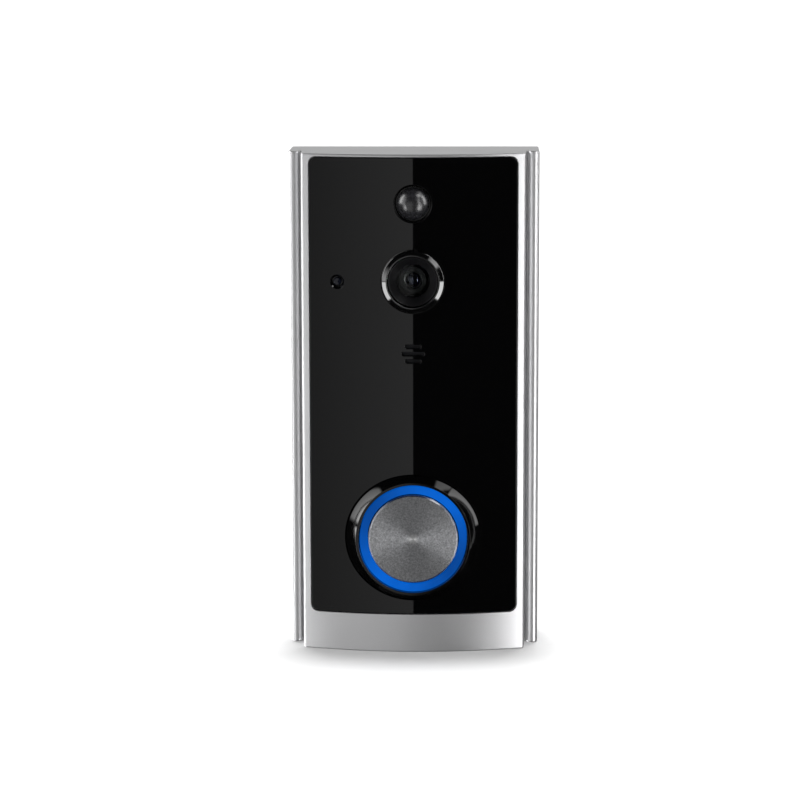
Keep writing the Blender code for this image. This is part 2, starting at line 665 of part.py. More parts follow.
def power_board_parts():
    """Rear board with the charging port, reset switch and wire terminals."""
    add_part("power_board", block(-0.024, 0.024, 0.0194, 0.0206, 0.0030, 0.0215), BOARD_GREEN, 0.4)
    add_part("board_header", block(-0.019, -0.007, 0.0075, 0.0191, 0.0172, 0.0198), BLACK_SATIN, 0.6)
    port = add_part("usb_port", block(-0.0040, 0.0040, 0.0209, 0.0279, -0.00145, 0.00145),
                    STEEL, 0.25, 1.0, (PORT_X, 0, PORT_Z))
    mouth = block(-0.0034, 0.0034, 0.0225, 0.0290, -0.0009, 0.0009)
    combine(port, add_cutter("cut_usb_mouth", mouth, (PORT_X, 0, PORT_Z)))
    flap = add_part("usb_flap", block(-0.0007, 0.0126, -0.0007, 0.0007, -0.0032, 0.0032), RUBBER, 0.8,
                    0.0, (PORT_X - 0.0066, 0.0292, PORT_Z))
    soften(flap, 0.0003)
    key = [(0, 0.0248), (0.0024, 0.0248), (0.0024, 0.0256), (0.0015, 0.0256), (0.0015, 0.0283),
           (0.0014, 0.0284), (0, 0.0284)]
    turned_part("reset_button", key, (0, 0, PORT_Z), RUBBER, 0.6, steps=16)
    add_part("reset_switch", block(-0.002, 0.002, 0.0209, 0.0240, -0.002, 0.002), BLACK_SATIN, 0.5,
             0.0, (0, 0, PORT_Z))
    terminals = add_part("terminal_block", block(0.0060, 0.0200, 0.0209, 0.0262, 0.0095, 0.0185),
                         BLACK_SATIN, 0.6)
    for number, x in enumerate((0.0095, 0.0165)):
        place = (x, 0, PORT_Z)
        combine(terminals, add_cutter(f"cut_terminal_{number}", peg(0.0015, 0.0232, 0.0280, 16), place))
        screw = [(0, 0.0235), (0.0012, 0.0235), (0.0012, 0.0265), (0.0026, 0.0265), (0.0026, 0.0274),
                 (0.0022, 0.0279), (0, 0.0279)]
        item = turned_part(f"terminal_screw_{number + 1}", screw, place, BRASS, 0.35, 1.0, steps=16)
        cross = block(-0.0022, 0.0022, 0.0274, 0.0290, -0.0004, 0.0004)
        combine(item, add_cutter(f"cut_terminal_slot_{number}", cross, place))


def battery_parts():
    """Two round cells, their springs and the link across the far ends."""
    shoulder = 0.0007
    for number, side in enumerate((-1, 1)):
        place = (side * CELL_X, CELL_Y, CELL_BOTTOM)
        cell = [(0, CELL_LENGTH), (0.0028, CELL_LENGTH), (0.0028, CELL_LENGTH - shoulder),
                (CELL_RADIUS - shoulder, CELL_LENGTH - shoulder), (CELL_RADIUS, CELL_LENGTH - 2 * shoulder),
                (CELL_RADIUS, shoulder / 2), (CELL_RADIUS - shoulder / 2, 0), (0, 0)]
        mesh = profile_mesh([(r, -z) for r, z in cell], False)
        battery = add_part(f"battery_{number + 1}", mesh, CELL_WRAP, 0.35, 0.0, place)
        spin(battery, 20)
        spring = coil_mesh(0.0055, 0.0035, 0.0003, 0.0, 0.0052, 3)
        low = (side * CELL_X, CELL_Y, CELL_BOTTOM - 0.0058)
        add_part(f"battery_spring_{number + 1}", spring, STEEL, 0.3, 1.0, low)
    link = block(-0.0160, 0.0160, 0.0130, 0.0226, 0.0960, 0.0966)
    add_part("battery_contact", link, STEEL, 0.3, 1.0)


# ---- Back of the doorbell -----------------------------------------------------------------
def rear_cover():
    """Black rear cover with the battery bay, screw wells and openings for ports and tongues."""
    edge = 0.0015
    outline = rounded_rect(-REAR_HALF, REAR_HALF, edge, BODY_HEIGHT - edge, 0.0012, 3)
    clear = 0.0003
    port = rounded_rect(PORT_X - 0.0040 - clear, PORT_X + 0.0040 + clear,
                        PORT_Z - 0.00145 - clear, PORT_Z + 0.00145 + clear, 0.0002, 1)
    wires = rounded_rect(0.0057, 0.0203, 0.0092, 0.0188, 0.0008, 2)
    openings = [port, wires, circle(0, PORT_Z, 0.0018, 16)]
    openings += [circle(side * BOSS_X, height, 0.0014, 16) for side in (-1, 1) for height in BOSS_Z]
    for side in (-1, 1):
        top, low = side * TONGUE_TOP_X, side * TONGUE_SIDE_X
        openings.append(rounded_rect(top - 0.0043, top + 0.0043, 0.1268, 0.1292, 0.0003, 1))
        openings.append(rounded_rect(low - 0.0012, low + 0.0012, 0.0557, 0.0643, 0.0003, 1))
    cover = add_part("rear_cover", facing([outline] + openings, REAR_FRONT, REAR_BACK), BLACK_SATIN, 0.55)
    bay = block(-BAY_HALF - BAY_WALL, BAY_HALF + BAY_WALL, BAY_FRONT, REAR_FRONT + 0.0004,
                BAY_BOTTOM - BAY_WALL, BAY_TOP + BAY_WALL)
    combine(cover, add_cutter("bay_box", bay), "UNION")
    for side, name in ((-1, "left"), (1, "right")):
        inner, outer = side * (BAY_HALF + BAY_WALL / 2), side * 0.0244
        post = block(min(inner, outer), max(inner, outer), BAY_FRONT, REAR_FRONT + 0.0004, 0.0577, 0.0623)
        combine(cover, add_cutter("post_" + name, post), "UNION")
        hole = add_cutter("cut_post_" + name, peg(0.0013, 0.0060, 0.0145, 16), (side * 0.0222, 0, 0.0600))
        combine(cover, hole)
        for level, height in enumerate(BOSS_Z):
            well = peg(0.0029, 0.0271, 0.0290)
            combine(cover, add_cutter(f"well_{name}_{level}", well, (side * BOSS_X, 0, height)))
    pocket = block(-BAY_HALF, BAY_HALF, BAY_FLOOR, 0.0300, BAY_BOTTOM, BAY_TOP)
    combine(cover, add_cutter("cut_bay", pocket))
    recess = rounded_rect(-LID_HALF - GAP, LID_HALF + GAP, LID_BOTTOM - GAP, LID_TOP + GAP, 0.0018, 3)
    combine(cover, add_cutter("cut_lid_recess", facing([recess], 0.0271, 0.0300)))
    notch = block(-0.0050, 0.0050, LOCK_Y - LOCK_HEAD_RADIUS - GAP, 0.0300, 0.0, 0.0088)
    combine(cover, add_cutter("cut_lug_notch", notch))


def rear_seal():
    """Rubber seal under the rear cover's rim."""
    inset = 0.0003
    outer = rounded_rect(inset - SEAT_HALF, SEAT_HALF - inset, SEAT_WALL + inset,
                         BODY_HEIGHT - SEAT_WALL - inset, 0.0006, 2)
    width = 0.00085
    inner = rounded_rect(width - SEAT_HALF, SEAT_HALF - width, SEAT_WALL + width,
                         BODY_HEIGHT - SEAT_WALL - width, 0.0004, 2)
    add_part("rear_seal", facing([outer, inner], SEAT_DEPTH + 0.0003, REAR_FRONT - 0.0003), RUBBER, 0.8)


def case_screws():
    """Four sunk screws that hold the rear cover to the housing's bosses."""
    for side, name in ((-1, "left"), (1, "right")):
        for height, level in zip(BOSS_Z, ("bottom", "top")):
            place = (side * BOSS_X, 0, height)
            screw = [(0, 0.0200), (0.0009, 0.0200), (0.0011, 0.0204), (0.0011, 0.0274), (0.0025, 0.0274),
                     (0.0025, 0.0278), (0.0020, 0.0281), (0, 0.0281)]
            item = turned_part(f"case_screw_{level}_{name}", screw, place, STEEL, 0.3, 1.0, steps=12)
            for angle in (0, math.pi / 2):
                arm = block(-0.0013, 0.0013, 0.0278, 0.0290, -0.00025, 0.00025)
                cutter = add_cutter(f"cut_cross_{level}_{name}_{int(angle)}", arm, place)
                cutter.rotation_euler.y = angle
                combine(item, cutter)


def battery_cover():
    """Lift-off lid over the cells, with a finger scoop."""
    outline = rounded_rect(-LID_HALF, LID_HALF, LID_BOTTOM, LID_TOP, 0.0015, 3)
    lid = add_part("battery_cover", facing([outline], LID_FRONT, LID_BACK), BLACK_SATIN, 0.5)
    scoop = add_cutter("cut_scoop", peg(0.0050, 0.0, 0.0200), (0, 0.0332, 0.0300))
    scoop.rotation_euler.z = math.pi / 2
    scoop.location.x = 0.0100
    combine(lid, scoop)


def wall_bracket():
    """Frame-shaped wall plate with four screw slots, four tongues and the locking lug."""
    outline = rounded_rect(-BRACKET_HALF, BRACKET_HALF, BRACKET_BOTTOM, BRACKET_TOP, 0.0020, 3)
    window = rounded_rect(-0.0216, 0.0216, 0.0085, 0.0996, 0.0020, 3)
    holes = [window]
    for side in (-1, 1):
        holes.append(slot(side * 0.0180, 0.1175, 0.00225, 0.0045))
        holes.append(slot(side * 0.0270, 0.0245, 0.00210, 0.0048))
    plate = add_part("wall_bracket", facing([outline] + holes, BRACKET_FRONT, REAR_LIMIT), BLACK_SATIN, 0.6)
    root = BRACKET_FRONT + 0.0006
    for side, name in ((-1, "left"), (1, "right")):
        x = side * TONGUE_TOP_X
        top = block(x - 0.0040, x + 0.0040, 0.0255, root, 0.1271, 0.1289)
        combine(plate, add_cutter("tongue_top_" + name, top), "UNION")
        x = side * TONGUE_SIDE_X
        low = block(x - 0.0009, x + 0.0009, 0.0255, root, 0.0560, 0.0640)
        combine(plate, add_cutter("tongue_side_" + name, low), "UNION")
    lug = block(-0.0045, 0.0045, 0.0273, root, BRACKET_BOTTOM, 0.0083)
    combine(plate, add_cutter("lock_lug", lug), "UNION")


def security_screw():
    """Screw in the bottom end whose inner head presses up under the bracket's lug."""
    place = (0, LOCK_Y, 0)
    bottom, shoulder, edge = 0.0003, SEAT_WALL + GAP, 0.0003
    shape = [(0, LOCK_TIP), (LOCK_HEAD_RADIUS - edge, LOCK_TIP), (LOCK_HEAD_RADIUS, LOCK_TIP - edge),
             (LOCK_HEAD_RADIUS, shoulder), (LOCK_RADIUS, shoulder), (LOCK_RADIUS, bottom), (0, bottom)]
    mesh = profile_mesh([(r, -z) for r, z in shape], False)
    screw = add_part("security_screw", mesh, STEEL, 0.3, 1.0, place)
    spin(screw, 20)
    socket = bpy.data.meshes.new("socket")
    bm = bmesh.new()
    bmesh.ops.create_cone(bm, cap_ends=True, segments=6, radius1=0.0006, radius2=0.0006, depth=0.0024)
    bm.to_mesh(socket)
    bm.free()
    combine(screw, add_cutter("cut_hex", socket, (0, LOCK_Y, 0.0004)))


def build():
    """Model every piece."""
    front_housing()
    front_panel()
    panel_gasket()
    pir_parts()
    camera_parts()
    light_sensor_parts()
    sound_parts()
    button_parts()
    main_board_parts()
    power_board_parts()
    battery_parts()
    rear_cover()
    rear_seal()
    case_screws()
    battery_cover()
    wall_bracket()
    security_screw()


build()
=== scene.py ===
"""Finished pieces, materials and stage of a video doorbell, laid out as an add-on."""
import math

import bmesh
import bpy
import numpy as np
from mathutils import Matrix, Vector
from mathutils.geometry import delaunay_2d_cdt


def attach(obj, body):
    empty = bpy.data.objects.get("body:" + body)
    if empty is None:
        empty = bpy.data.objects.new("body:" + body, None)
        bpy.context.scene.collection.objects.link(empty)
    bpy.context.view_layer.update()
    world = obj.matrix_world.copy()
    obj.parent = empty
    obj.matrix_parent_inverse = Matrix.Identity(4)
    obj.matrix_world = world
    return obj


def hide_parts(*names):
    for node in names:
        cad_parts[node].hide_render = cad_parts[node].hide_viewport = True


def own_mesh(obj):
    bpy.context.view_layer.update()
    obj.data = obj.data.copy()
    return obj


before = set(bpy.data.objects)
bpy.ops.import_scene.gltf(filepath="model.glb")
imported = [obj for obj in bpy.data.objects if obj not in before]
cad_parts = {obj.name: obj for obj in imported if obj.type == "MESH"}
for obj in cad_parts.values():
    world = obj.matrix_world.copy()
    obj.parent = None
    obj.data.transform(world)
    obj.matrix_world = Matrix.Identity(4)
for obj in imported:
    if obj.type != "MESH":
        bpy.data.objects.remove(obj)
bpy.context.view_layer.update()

bl_info = {
    "name": "Video Doorbell",
    "version": (1, 0, 0),
    "blender": (4, 5, 0),
    "location": "View3D > Sidebar > Doorbell",
    "description": "Builds the finished pieces, materials and stage of a wall-mounted video doorbell",
    "category": "Object",
}

MM = 0.001
CREST = 14.225 * MM          # the front's crest lies this far in front of the origin
BOW = 95.0 * MM              # plan radius of the bowed front
HEIGHT = 140.0 * MM
WIDTH = 70.0 * MM
DEPTH = 30.0 * MM

# Plan section of the housing, in depth behind the crest
FACE_HALF = 31.0 * MM
FACE_TANGENT = 30.0 * MM
FLANK_HALF = 31.3 * MM
GROOVE_FLOOR = 13.8 * MM
NOSE_RADIUS = 1.55 * MM
NOSE_FRONT = 12.0 * MM
SEAT_HALF = 33.3 * MM
SEAT_DEPTH = 25.2 * MM
SEAT_WALL = 1.2 * MM
SEAT_CORNER = 0.8 * MM
EDGE_ROUND = 0.8 * MM        # where the front turns into the flank, and along the rear rim
WALL = 1.8 * MM
CAVITY_HALF = 32.2 * MM
CAVITY_CORNER = 1.0 * MM
NECK_HALF = 29.2 * MM        # the hollow's narrower front part
NECK_BACK = 14.7 * MM
SHOULDER_BACK = 15.6 * MM
LEDGE_HALF = 27.05 * MM
LEDGE_LOW = 12.8 * MM
LEDGE_HIGH = 137.25 * MM
LEDGE_BACK = 4.2 * MM
REBATE_BACK = 2.7 * MM
REBATE_BAND = 0.18 * MM      # strip of the front beside the rebate that its fillet is swept with
OUTLINE_STEPS = 40
HAIR = 0.0001 * MM           # keeps a full round just short of closing on itself

# Case screw bosses, and holes in the bottom end for the locking screw and the microphone
BOSS_X = 28.0 * MM
BOSS_HEIGHTS = (8.0 * MM, 131.0 * MM)
BOSS_RADIUS = 2.6 * MM
BOSS_BORE = 1.4 * MM
BOSS_BACK = 26.1 * MM
BOSS_FRONT = 9.0 * MM
BORE_END = 19.5 * MM
END_HOLES = (
    # across, depth, radius, depth of the bore, corners of its rim and of its wall
    (0.0, 28.5 * MM, 1.2 * MM, SEAT_WALL, 24, 32),
    (18.0 * MM, 18.7 * MM, 0.5 * MM, WALL, 16, 16),
)

# Front panel and what shows on it
PANEL_HALF = 28.85 * MM
PANEL_LOW = 11.0 * MM
PANEL_HIGH = 139.05 * MM
PANEL_CORNER = 2.0 * MM
PANEL_FRONT = 0.25 * MM
PANEL_BACK = 1.75 * MM
REBATE_GAP = 0.2 * MM
PIR_Z = 126.4 * MM
CAMERA_Z = 104.9 * MM
SENSOR_X = -21.0 * MM
SENSOR_Z = 104.6 * MM
GRILLE_Z = 84.7 * MM
GRILLE_PITCH = 2.05 * MM
GRILLE_LENGTHS = (4.4 * MM, 6.4 * MM, 4.4 * MM)
GRILLE_HEIGHT = 1.05 * MM
BUTTON_Z = 32.8 * MM
FLARE_ROOT = 17.5 * MM
FLARE_SLOPE = 0.65
GLOW_PEAK = math.radians(58)    # where the lit ring is brightest, and again on its far side

# Speaker mesh and grip ridges; depths are behind the crest
MESH_RADIUS = 4.05 * MM
MESH_DEPTH = 2.2 * MM
MESH_THICK = 0.12 * MM
MESH_TILES = 31                 # tiles along each side of the sheet that the mesh is cut from
GRIP_LOW = 40.0 * MM
GRIP_DEPTH = 29.75 * MM
GRIP_WIDTH = 20.0 * MM
GRIP_HEIGHT = 0.8 * MM
GRIP_RISE = 0.4 * MM

SHARP = math.radians(32)        # edges of the CAD meshes that turn more than this are softened
FINISH = {}                     # every material by its slot's name


# ---- Settings -----------------------------------------------------------------------------
class HousingSettings(bpy.types.PropertyGroup):
    """Sizes of the silver housing."""

    end_round: bpy.props.FloatProperty(
        name="End Fillet", description="Fillet along the top and bottom ends",
        default=0.4 * MM, min=0.1 * MM, max=1.0 * MM, unit="LENGTH")
    rebate_round: bpy.props.FloatProperty(
        name="Rebate Edge", description="Fillet on the rebate's front edge",
        default=0.12 * MM, min=0.02 * MM, max=0.4 * MM, unit="LENGTH")
    colour: bpy.props.FloatVectorProperty(
        name="Silver", description="Satin silver coat", subtype="COLOR_GAMMA", size=3,
        default=(0.86, 0.86, 0.865), min=0.0, max=1.0)


class PanelSettings(bpy.types.PropertyGroup):
    """Sizes of the black front panel."""

    edge_round: bpy.props.FloatProperty(
        name="Edge Fillet", description="Fillet around the panel's outline",
        default=0.15 * MM, min=0.02 * MM, max=0.5 * MM, unit="LENGTH")
    mesh_step: bpy.props.FloatProperty(
        name="Mesh Step", description="Spacing of the points across the bowed surface",
        default=2.5 * MM, min=0.5 * MM, max=10.0 * MM, unit="LENGTH")
    colour: bpy.props.FloatVectorProperty(
        name="Black", description="Ink behind the clear front", subtype="COLOR_GAMMA", size=3,
        default=(0.012, 0.012, 0.014), min=0.0, max=1.0)


class OpticsSettings(bpy.types.PropertyGroup):
    """Sizes of the camera, motion sensor and light sensor."""

    steps: bpy.props.IntProperty(
        name="Turned Steps", description="Segments around each turned piece", default=128, min=24, max=512)
    dome_radius: bpy.props.FloatProperty(
        name="Dome Radius", description="Radius of the motion sensor's dome",
        default=4.6 * MM, min=2.0 * MM, max=8.0 * MM, unit="LENGTH")


class ButtonSettings(bpy.types.PropertyGroup):
    """Sizes of the push button."""

    cap_radius: bpy.props.FloatProperty(
        name="Cap Radius", description="Radius of the spun metal cap",
        default=12.5 * MM, min=8.0 * MM, max=12.6 * MM, unit="LENGTH")
    glow: bpy.props.FloatVectorProperty(
        name="Glow", description="Colour of the lit ring", subtype="COLOR_GAMMA", size=3,
        default=(0.0, 0.37, 0.79), min=0.0, max=1.0)
    strength: bpy.props.FloatProperty(
        name="Glow Strength", description="Brightness of the lit ring", default=1.0, min=0.0, max=10.0)


class DetailSettings(bpy.types.PropertyGroup):
    """Repeated small features."""

    mesh_pitch: bpy.props.FloatProperty(
        name="Perforation Pitch", description="Distance between the speaker mesh's holes",
        default=0.42 * MM, min=0.2 * MM, max=2.0 * MM, unit="LENGTH")
    grip_count: bpy.props.IntProperty(
        name="Grip Ridges", description="Ridges under the battery cover's scoop", default=7, min=1, max=30)
    grip_pitch: bpy.props.FloatProperty(
        name="Grip Pitch", description="Distance between the grip ridges",
        default=1.6 * MM, min=0.8 * MM, max=4.0 * MM, unit="LENGTH")


class StageSettings(bpy.types.PropertyGroup):
    """Floor, lights and camera."""

    ambient: bpy.props.FloatProperty(
        name="Ambient", description="Light that the floor receives from all round", default=0.62, min=0.0)
    overhead: bpy.props.FloatProperty(
        name="Overhead", description="Strength of the soft sun above", default=2.0, min=0.0)
    focal: bpy.props.FloatProperty(
        name="Focal Length", description="Focal length in millimetres", default=134.21, min=10.0)
    stand_off: bpy.props.FloatProperty(
        name="Card Distance", description="Distance from the object to the reflector cards",
        default=1.6, min=0.3, unit="LENGTH")


# ---- Geometry -----------------------------------------------------------------------------
def bow(x, depth=0.0):
    """Depth at x of a surface that runs parallel to the bowed front."""
    return BOW - math.sqrt(BOW * BOW - x * x) + depth


def rounded_path(points, side=1.0, steps=6, closed=False):
    """Turns (u, d, fillet radius) corners into [((u, d), (nu, nd))] with exact normals."""
    count = len(points)
    path = []
    for index in range(count):
        here = Vector(points[index][:2])
        radius = points[index][2] if len(points[index]) > 2 else 0.0
        before = Vector(points[index - 1][:2])
        after = Vector(points[(index + 1) % count][:2])
        come = (here - before).normalized()
        go = (after - here).normalized()
        first, last = index == 0 and not closed, index == count - 1 and not closed
        if first:
            come = go
        if last:
            go = come
        turn = come.x * go.y - come.y * go.x
        angle = math.atan2(turn, come.dot(go))
        if radius and abs(angle) > 0.001:
            reach = radius * abs(math.tan(angle / 2))
            start = here - come * reach
            centre = start + Vector((-come.y, come.x)) * math.copysign(radius, angle)
            for step in range(steps + 1):
                spin = Matrix.Rotation(angle * step / steps, 2)
                path.append((centre + spin @ (start - centre), side * (spin @ Vector((come.y, -come.x)))))
        else:
            path.append((here, side * Vector((come.y, -come.x))))
            if abs(angle) > 0.001:
                path.append((here, side * Vector((go.y, -go.x))))
    return path


def loop_circle(x, z, radius, steps):
    """Closed loop of ((x, z), outward normal) round a circle."""
    turns = [2 * math.pi * i / steps for i in range(steps)]
    return [((x + radius * math.cos(t), z + radius * math.sin(t)), (math.cos(t), math.sin(t))) for t in turns]


def loop_rect(x0, x1, z0, z1, radius, across=1, up=1, steps=10):
    """Closed loop round a rounded rectangle, each side cut into equal lengths."""
    corners = ((x1 - radius, z0 + radius, -90), (x1 - radius, z1 - radius, 0),
               (x0 + radius, z1 - radius, 90), (x0 + radius, z0 + radius, 180))
    loop = []
    for index, (cx, cz, start) in enumerate(corners):
        for step in range(steps + 1):
            turn = math.radians(start + 90 * step / steps)
            normal = (math.cos(turn), math.sin(turn))
            loop.append(((cx + radius * normal[0], cz + radius * normal[1]), normal))
        nx, nz, nstart = corners[(index + 1) % 4]
        turn = math.radians(nstart)
        normal = (math.cos(turn), math.sin(turn))
        begin = Vector(loop[-1][0])
        end = Vector((nx + radius * normal[0], nz + radius * normal[1]))
        cuts = up if index % 2 == 0 else across
        loop += [(tuple(begin.lerp(end, cut / cuts)), normal) for cut in range(1, cuts)]
    return loop


def loop_slot(x, z, length, width, steps=10):
    """Closed loop round a level slot with round ends."""
    radius = width / 2
    return loop_rect(x - length / 2, x + length / 2, z - radius, z + radius, radius - HAIR, 4, 1, steps)


def loop_flare(gap, steps):
    """Where the button's flare, moved out by a gap, meets the bowed panel."""
    loop = []
    for index in range(steps):
        turn = 2 * math.pi * index / steps
        radius = FLARE_ROOT + gap
        for _ in range(8):
            radius = FLARE_ROOT + gap + FLARE_SLOPE * bow(radius * math.cos(turn))
        normal = (math.cos(turn), math.sin(turn))
        loop.append(((radius * normal[0], BUTTON_Z + radius * normal[1]), normal))
    return loop


def inside(x, z, loop):
    """True if a point lies inside a closed loop of (x, z)."""
    hit = False
    for (x0, z0), (x1, z1) in zip(loop, loop[1:] + loop[:1]):
        if (z0 > z) != (z1 > z) and x < (x1 - x0) * (z - z0) / (z1 - z0) + x0:
            hit = not hit
    return hit


class Shell:
    """Collects faces whose corners carry exact normals, then makes one mesh of them."""

    def __init__(self):
        self.known = {}
        self.points = []
        self.normals = []
        self.faces = []

    def corner(self, point, normal):
        """Index of a corner, shared where both point and normal agree."""
        key = tuple(round(v, 7) for v in point) + tuple(round(v, 2) for v in normal)
        if key not in self.known:
            self.known[key] = len(self.points)
            self.points.append(tuple(point))
            self.normals.append(tuple(normal))
        return self.known[key]

    def face(self, corners):
        """One face, turned so that it faces the way its corners' normals do."""
        points = [Vector(p) for p, _ in corners]
        area = Vector((0, 0, 0))
        for a, b in zip(points[1:], points[2:]):
            area += (a - points[0]).cross(b - points[0])
        if area.length < 1e-14:
            return
        lean = sum((Vector(n) for _, n in corners), Vector((0, 0, 0)))
        chosen = corners if area.dot(lean) > 0 else corners[::-1]
        indices = []
        for point, normal in chosen:
            index = self.corner(point, normal)
            if index not in indices:
                indices.append(index)
        if len(indices) > 2:
            self.faces.append(indices)

    def strip(self, rings, closed=True):
        """Quads between neighbouring rings of equal length."""
        for near, far in zip(rings, rings[1:]):
            count = len(near)
            for i in range(count if closed else count - 1):
                j = (i + 1) % count
                self.face([near[i], near[j], far[j], far[i]])

    def sweep(self, loop, path, bowed=False, closed=False):
        """Carries a path of (offset, depth) round a loop; a bowed sweep rides on the front's curve."""
        rings = []
        for (u, d), (nu, nd) in path:
            ring = []
            for (x, z), (mx, mz) in loop:
                px, pz = x + mx * u, z + mz * u
                if bowed:
                    rise = px / math.sqrt(BOW * BOW - px * px)
                    along = Vector((mx, mx * rise, mz)).normalized()
                    inward = Vector((-px / BOW, math.sqrt(1 - (px / BOW) ** 2), 0))
                    normal = (along * nu + inward * nd).normalized()
                    ring.append(((px, bow(px, d) - CREST, pz), normal))
                else:
                    ring.append(((px, d - CREST, pz), Vector((mx * nu, nd, mz * nu)).normalized()))
            rings.append(ring)
        if closed:
            rings.append(rings[0])
        self.strip(rings)

    def fill(self, outer, holes, place, step=0.0):
        """Triangles between an outline and its holes; place turns (x, z) into (point, normal)."""
        loops = [outer] + holes
        points, edges = [], []
        for loop in loops:
            base = len(points)
            points += loop
            edges += [(base + i, base + (i + 1) % len(loop)) for i in range(len(loop))]
        if step:
            points = points + self.grid(points, outer, step)
        flat = [Vector((x / MM, z / MM)) for x, z in points]
        verts, _, tris = delaunay_2d_cdt(flat, edges, [], 0, 1e-6)[:3]
        for tri in tris:
            x = sum(verts[i].x for i in tri) / 3 * MM
            z = sum(verts[i].y for i in tri) / 3 * MM
            if inside(x, z, outer) and not any(inside(x, z, hole) for hole in holes):
                self.face([place(verts[i].x * MM, verts[i].y * MM) for i in tri])

    @staticmethod
    def grid(points, outer, step):
        """Points on a regular grid that keep clear of the loops' own points."""
        edge = np.array(points)
        low, high = np.min(outer, axis=0), np.max(outer, axis=0)
        found = []
        for x in np.arange(low[0] + step / 2, high[0], step):
            for z in np.arange(low[1] + step, high[1], step * 1.4):
                if np.min(np.sum((edge - (x, z)) ** 2, axis=1)) > (0.45 * step) ** 2:
                    found.append((float(x), float(z)))
        return found

    def build(self, name):
        """The finished object."""
        mesh = bpy.data.meshes.new(name)
        mesh.from_pydata(self.points, [], self.faces, shade_flat=False)
        mesh.update()
        mesh.normals_split_custom_set_from_vertices([Vector(n).normalized() for n in self.normals])
        return new_object(name, mesh)


def new_object(name, data):
    """An object of the data, linked to the scene."""
    obj = bpy.data.objects.new(name, data)
    bpy.context.scene.collection.objects.link(obj)
    return obj


def in_mm(points):
    """Points given in millimetres, as metres."""
    return [tuple(value * MM for value in point) for point in points]


def ball_arc(radius, centre, limit, steps, hollow=False):
    """Section of a ball from its pole to an angle, or back to the pole along a hollow; in mm."""
    path = []
    for step in range(steps + 1):
        turn = limit * step / steps
        normal = Vector((math.sin(turn), -math.cos(turn)))
        path.append((Vector((0, centre)) * MM + normal * radius * MM, -normal if hollow else normal))
    return path[::-1] if hollow else path


def offset(loop, distance):
    """The (x, z) points of a loop moved out by a distance."""
    return [(x + mx * distance, z + mz * distance) for (x, z), (mx, mz) in loop]


def on_bow(depth, side=-1.0):
    """Places (x, z) on a bowed surface at a depth, with the normal forward for side -1."""
    def place(x, z):
        normal = Vector((-x / BOW, math.sqrt(1 - (x / BOW) ** 2), 0)) * side
        return (x, bow(x, depth) - CREST, z), normal
    return place


def settle(obj, body, slot, *nodes, material=None):
    """Gives a piece its finish, its CAD body and the nodes that it stands for."""
    obj.data.materials.clear()
    obj.data.materials.append(material or FINISH[slot])
    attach(obj, body)
    if nodes:
        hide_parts(*nodes)
    return obj


def turned(name, node, slot, points, z, x=0.0, body="housing", material=None, closed=True, steps=None, arc=6):
    """A turned piece about an axis along the depth; points are (radius, depth, fillet) in mm."""
    if steps is None:
        steps = bpy.context.scene.doorbell_optics.steps
    shell = Shell()
    shell.sweep(loop_circle(x, z, 0.0, steps), rounded_path(in_mm(points), 1.0, arc, closed), closed=closed)
    settle(shell.build(name), body, slot, node, material=material)


def eased_copy(node, width, body, slot):
    """A copy of a CAD node with its hard edges softened by a bevel."""
    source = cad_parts[node]
    bm = bmesh.new()
    bm.from_mesh(source.data)
    bm.transform(source.matrix_world)
    bmesh.ops.remove_doubles(bm, verts=bm.verts, dist=1e-6)
    bmesh.ops.dissolve_limit(bm, angle_limit=math.radians(0.5), verts=bm.verts, edges=bm.edges)
    for face in bm.faces:
        face.smooth = True
    mesh = bpy.data.meshes.new(node + "_finished")
    bm.to_mesh(mesh)
    bm.free()
    mesh.set_sharp_from_angle(angle=SHARP)
    obj = new_object(node + "_finished", mesh)
    edge = obj.modifiers.new("soft edges", "BEVEL")
    edge.width = width
    edge.segments = 2
    edge.limit_method = "ANGLE"
    edge.angle_limit = SHARP
    edge.harden_normals = True
    edge.use_clamp_overlap = True
    settle(obj, body, slot, node)


# ---- Materials ----------------------------------------------------------------------------
def linear(colour):
    """Linear RGBA of an sRGB hex code or triple."""
    if isinstance(colour, str):
        colour = [int(colour[i:i + 2], 16) / 255 for i in (1, 3, 5)]
    return tuple(c / 12.92 if c <= 0.04045 else ((c + 0.055) / 1.055) ** 2.4 for c in colour[:3]) + (1.0,)


def add(tree, kind, settings=None, links=None, **props):
    """One node with its properties, constants and incoming links."""
    node = tree.nodes.new(kind)
    for name, value in props.items():
        setattr(node, name, value)
    for key, value in (settings or {}).items():
        node.inputs[key].default_value = value
    for key, socket in (links or {}).items():
        tree.links.new(socket, node.inputs[key])
    return node


def surface(name, **constants):
    """A new material, its tree and its Principled shader with constants set."""
    mat = bpy.data.materials.new(name)
    mat.use_nodes = True
    tree = mat.node_tree
    tree.nodes.clear()
    shader = add(tree, "ShaderNodeBsdfPrincipled", {k.replace("_", " "): v for k, v in constants.items()})
    add(tree, "ShaderNodeOutputMaterial", links={"Surface": shader.outputs["BSDF"]})
    return mat, tree, shader


def object_coords(tree):
    """Object coordinates, which stay with the piece."""
    return add(tree, "ShaderNodeTexCoord").outputs["Object"]


def noise(tree, size, detail=3.0, rough=0.5, coords=None):
    """Noise of a real feature size in metres, read from object coordinates."""
    if coords is None:
        coords = object_coords(tree)
    return add(tree, "ShaderNodeTexNoise", {"Scale": 1.0 / size, "Detail": detail, "Roughness": rough},
               {"Vector": coords}).outputs["Fac"]


def remap(tree, value, low, high, start=0.3, end=0.7):
    """A value carried from start..end to low..high."""
    return add(tree, "ShaderNodeMapRange",
               {"From Min": start, "From Max": end, "To Min": low, "To Max": high},
               {"Value": value}).outputs["Result"]


